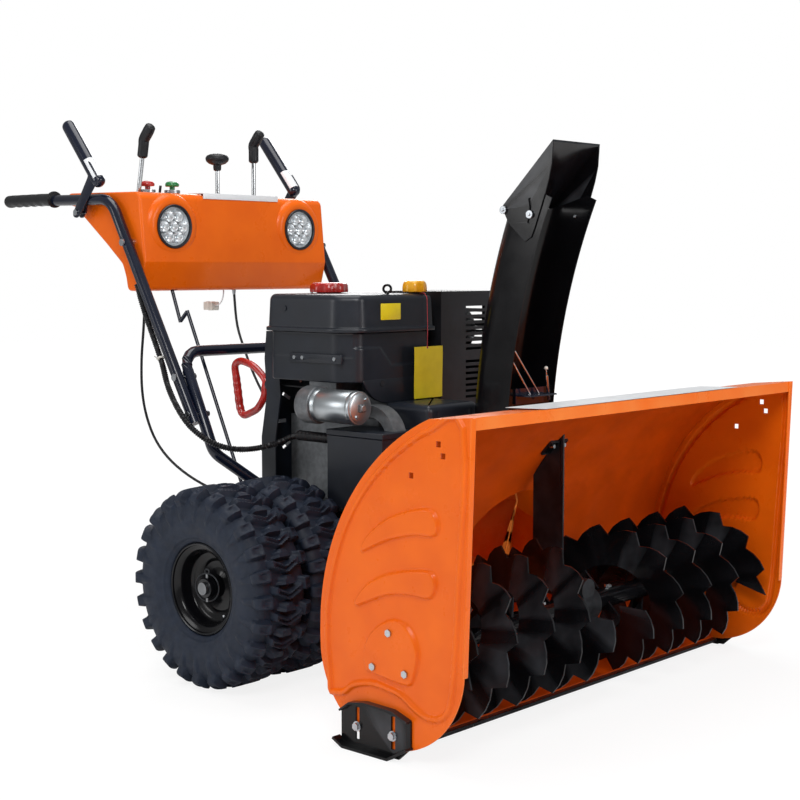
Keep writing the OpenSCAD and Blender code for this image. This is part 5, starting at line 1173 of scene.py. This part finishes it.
def block_parts():
    """Ribs and bolt heads on the cast block under the starter."""
    upright = [box([-101.5, -200 + k, 330], [-95, -194 + k, 500], 1.6) for k in (0, 34, 68)]
    level = [box([-104, -206, z], [-95, -110, z + 8], 2.2, "x") for z in (372, 430, 488)]
    head = [[0, -112], [6.5, -112], [7.4, -110.6], [7.4, -104], [0, -104]]
    return upright + level + [(*lathe(head, (0, y, z), "x", 6), 1) for y in (-184, -148) for z in (402, 462)]


def recoil_grip_parts():
    """Recoil grip: a closed loop along a smooth curve, ribbed where the fingers hold it, on its rope."""
    x, y = -138, 82.3
    points = [[x, y + a, z] for a, z in ((10, 574), (10, 592), (40, 616), (66, 626), (92, 629), (108, 618), (104, 590),
                                         (99, 560), (92, 524), (80, 509), (58, 515), (34, 527), (14, 552), (10, 574))]
    loop = spline(points, 10)
    s = np.linspace(0, 1, len(loop))
    held = step(s, 0.45, 0.1) * step(-s, -0.66, 0.1)
    thick = 8.2 + 0.9 * held * (1 + 0.5 * np.cos(s * 2 * np.pi * 26))
    rope = tube([[x, -30, 582], [x, 40, 582], [x, y + 12, 582]], 2.4, 12)
    return [tube(loop, thick, 20, ref=(1, 0, 0)), (*rope, 1)]


def belt_guard():
    """Belt guard: walls with two shallow steps and two soft ribs in front, and a rounded top."""
    low, high = (np.array(p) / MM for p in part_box("belt_cover"))
    edge = 14

    def ridges(x, y, z):
        """How far the wall stands out: less below one height, and less along two upright lines in front."""
        lines = -1.4 * hump(x - 42, 2.2, 2.4) - 1.4 * hump(x + 64, 2.2, 2.4)
        return 1.6 * step(z, 470, 4) - 1.6 + lines * (y < -330)
    plan = refine(rounded([[low[0], low[1]], [high[0], low[1]], [high[0], high[1]], [low[0], high[1]]], 12, 6), 4)
    wall = [[z, 0.0] for z in np.linspace(low[2], high[2] - edge, 40)]
    return prism(plan, np.vstack([wall, shoulder(high[2] - edge, edge, 8)]), relief=ridges)


class SNOWBLOWER_OT_tank_and_cover(bpy.types.Operator):
    """The moulded tank and the engine cover under it."""
    bl_idname = "snowblower.tank_and_cover"
    bl_label = "Tank and engine cover"
    bl_options = {"REGISTER", "UNDO"}

    def execute(self, context):
        piece("moulded_tank", tank_parts(), ["moulded_nylon", "yellow_card"], "machine", "moulded_black",
              ["fuel_tank"], 42)
        piece("engine_cover", cover_parts(), ["moulded_nylon", "zinc_plate", "black_powder_coat"], "machine",
              "moulded_black", ["engine_shroud"], 38)
        return {"FINISHED"}


class SNOWBLOWER_OT_filler_caps(bpy.types.Operator):
    """Fluted caps of the fuel and oil fillers."""
    bl_idname = "snowblower.filler_caps"
    bl_label = "Filler caps"
    bl_options = {"REGISTER", "UNDO"}

    def execute(self, context):
        fuel = [[0, 768.5], [21.5, 768.5], [21.5, 788.3], [36, 788.3], [36, 784.4], [39.6, 784.6], [40, 788],
                [39.6, 799], [37.6, 803], [33, 805], [20, 805.4], [0, 805.6]]
        piece("fuel_filler_cap", [lathe(fuel, (*FUEL_CAP, 0), "z", 96, fluted(0.045, 760, 801))], ["red_abs"],
              "fuel_lid", "red_plastic", ["fuel_cap"], 40)
        oil = [[0, 765.5], [8.6, 765.5], [8.6, 785.4], [24.6, 785.6], [25.8, 787.4], [25.6, 795], [24.6, 802],
               [23, 806.6], [19.6, 809], [12, 810], [0, 810.2]]
        piece("oil_filler_cap", [lathe(oil, (*OIL_CAP, 0), "z", 112, fluted(0.035, 787, 804))], ["yellow_abs"],
              "oil_lid", "yellow_plastic", ["oil_cap"], 40)
        return {"FINISHED"}


class SNOWBLOWER_OT_engine(bpy.types.Operator):
    """Engine block, its ribs and bolts, and the electric starter."""
    bl_idname = "snowblower.engine"
    bl_label = "Engine and starter"
    bl_options = {"REGISTER", "UNDO"}

    def execute(self, context):
        def lifting_eye(c):
            """Faces of the lifting eye, which stands above the tank."""
            return (c[:, 2] > 781) & (c[:, 0] < -40)
        refined("engine", ["cast_aluminium", "black_powder_coat"], 0.8, lifting_eye)
        piece("starter", starter_parts(), ["motor_plate", "cast_aluminium"], "machine", "zinc_plated_steel",
              ["starter_motor"], 36)
        piece("block_ribs", block_parts(), ["cast_aluminium", "zinc_plate"], "machine", "cast_aluminium")
        return {"FINISHED"}


class SNOWBLOWER_OT_recoil(bpy.types.Operator):
    """Recoil housing and the red grip on its rope."""
    bl_idname = "snowblower.recoil"
    bl_label = "Recoil starter"
    bl_options = {"REGISTER", "UNDO"}

    def execute(self, context):
        refined("recoil_housing", ["moulded_nylon"], 1.4)
        piece("recoil_grip", recoil_grip_parts(), ["red_abs", "grip_rubber"], "recoil", "red_plastic",
              ["recoil_handle"], 60)
        return {"FINISHED"}


class SNOWBLOWER_OT_guards(bpy.types.Operator):
    """Exhaust with its guard, belt guard and battery box."""
    bl_idname = "snowblower.guards"
    bl_label = "Guards and battery box"
    bl_options = {"REGISTER", "UNDO"}

    def execute(self, context):
        def muffler(c):
            """Faces within the muffler's radius of its axis, between its ends."""
            return (np.hypot(c[:, 1] + 140, c[:, 2] - 700) < 53) & (c[:, 0] > 95) & (c[:, 0] < 250)
        refined("exhaust", ["heat_paint", "turned_steel"], 1.6, muffler)
        piece("belt_guard", [belt_guard()], ["moulded_nylon"], "machine", "moulded_black", ["belt_cover"], 40)
        refined("battery_box", ["moulded_nylon"], 2.2)
        return {"FINISHED"}


# ------------------------------------------------------------------ chute
class SNOWBLOWER_OT_chute(bpy.types.Operator):
    """Chute, deflector and the bracket with its rods."""
    bl_idname = "snowblower.chute"
    bl_label = "Chute"
    bl_options = {"REGISTER", "UNDO"}

    def execute(self, context):
        def rods(c):
            """Chrome above the bracket's plate, white for the upper end of the left rod, and paint for the rest."""
            return np.where(c[:, 2] > 627, np.where(c[:, 0] > 92, 2, 1), np.where(c[:, 2] > 594, 1, 0))
        refined("chute", ["black_powder_coat"], 0.7, sharp=28)
        refined("deflector", ["black_powder_coat"], 0.7)
        refined("cable_bracket", ["tube_powder_coat", "chrome_plate", "nylon_white"], 0.5,
                rods)
        return {"FINISHED"}


OPERATORS = (SNOWBLOWER_OT_finishes, SNOWBLOWER_OT_stage, SNOWBLOWER_OT_tag, SNOWBLOWER_OT_lead,
             SNOWBLOWER_OT_cables, SNOWBLOWER_OT_side_plates, SNOWBLOWER_OT_housing, SNOWBLOWER_OT_auger,
             SNOWBLOWER_OT_wheels, SNOWBLOWER_OT_running_gear, SNOWBLOWER_OT_handles, SNOWBLOWER_OT_levers,
             SNOWBLOWER_OT_console, SNOWBLOWER_OT_lamps, SNOWBLOWER_OT_controls, SNOWBLOWER_OT_tank_and_cover,
             SNOWBLOWER_OT_filler_caps, SNOWBLOWER_OT_engine, SNOWBLOWER_OT_recoil, SNOWBLOWER_OT_guards,
             SNOWBLOWER_OT_chute)


class SNOWBLOWER_PT_panel(bpy.types.Panel):
    """Sizes, colours and the build steps, in the sidebar."""
    bl_label = "Snowblower"
    bl_idname = "SNOWBLOWER_PT_panel"
    bl_space_type = "VIEW_3D"
    bl_region_type = "UI"
    bl_category = "Snowblower"

    def draw(self, context):
        """Lists every setting and every build step."""
        for group in (context.scene.snowblower_sizes, context.scene.snowblower_colours):
            for key in group.bl_rna.properties.keys():
                if key not in ("name", "rna_type"):
                    self.layout.prop(group, key)
        for operator in OPERATORS:
            self.layout.operator(operator.bl_idname)


CLASSES = (SnowblowerSizes, SnowblowerColours, *OPERATORS, SNOWBLOWER_PT_panel)


def register():
    """Registers the classes and hangs the settings on the scene."""
    for cls in CLASSES:
        bpy.utils.register_class(cls)
    bpy.types.Scene.snowblower_sizes = bpy.props.PointerProperty(type=SnowblowerSizes)
    bpy.types.Scene.snowblower_colours = bpy.props.PointerProperty(type=SnowblowerColours)


def unregister():
    """Takes the settings and classes away again."""
    del bpy.types.Scene.snowblower_sizes, bpy.types.Scene.snowblower_colours
    for cls in reversed(CLASSES):
        bpy.utils.unregister_class(cls)


def main():
    """Builds everything in order."""
    register()
    for operator in OPERATORS:
        getattr(bpy.ops.snowblower, operator.bl_idname.split(".")[1])()


if __name__ == "__main__":
    main()
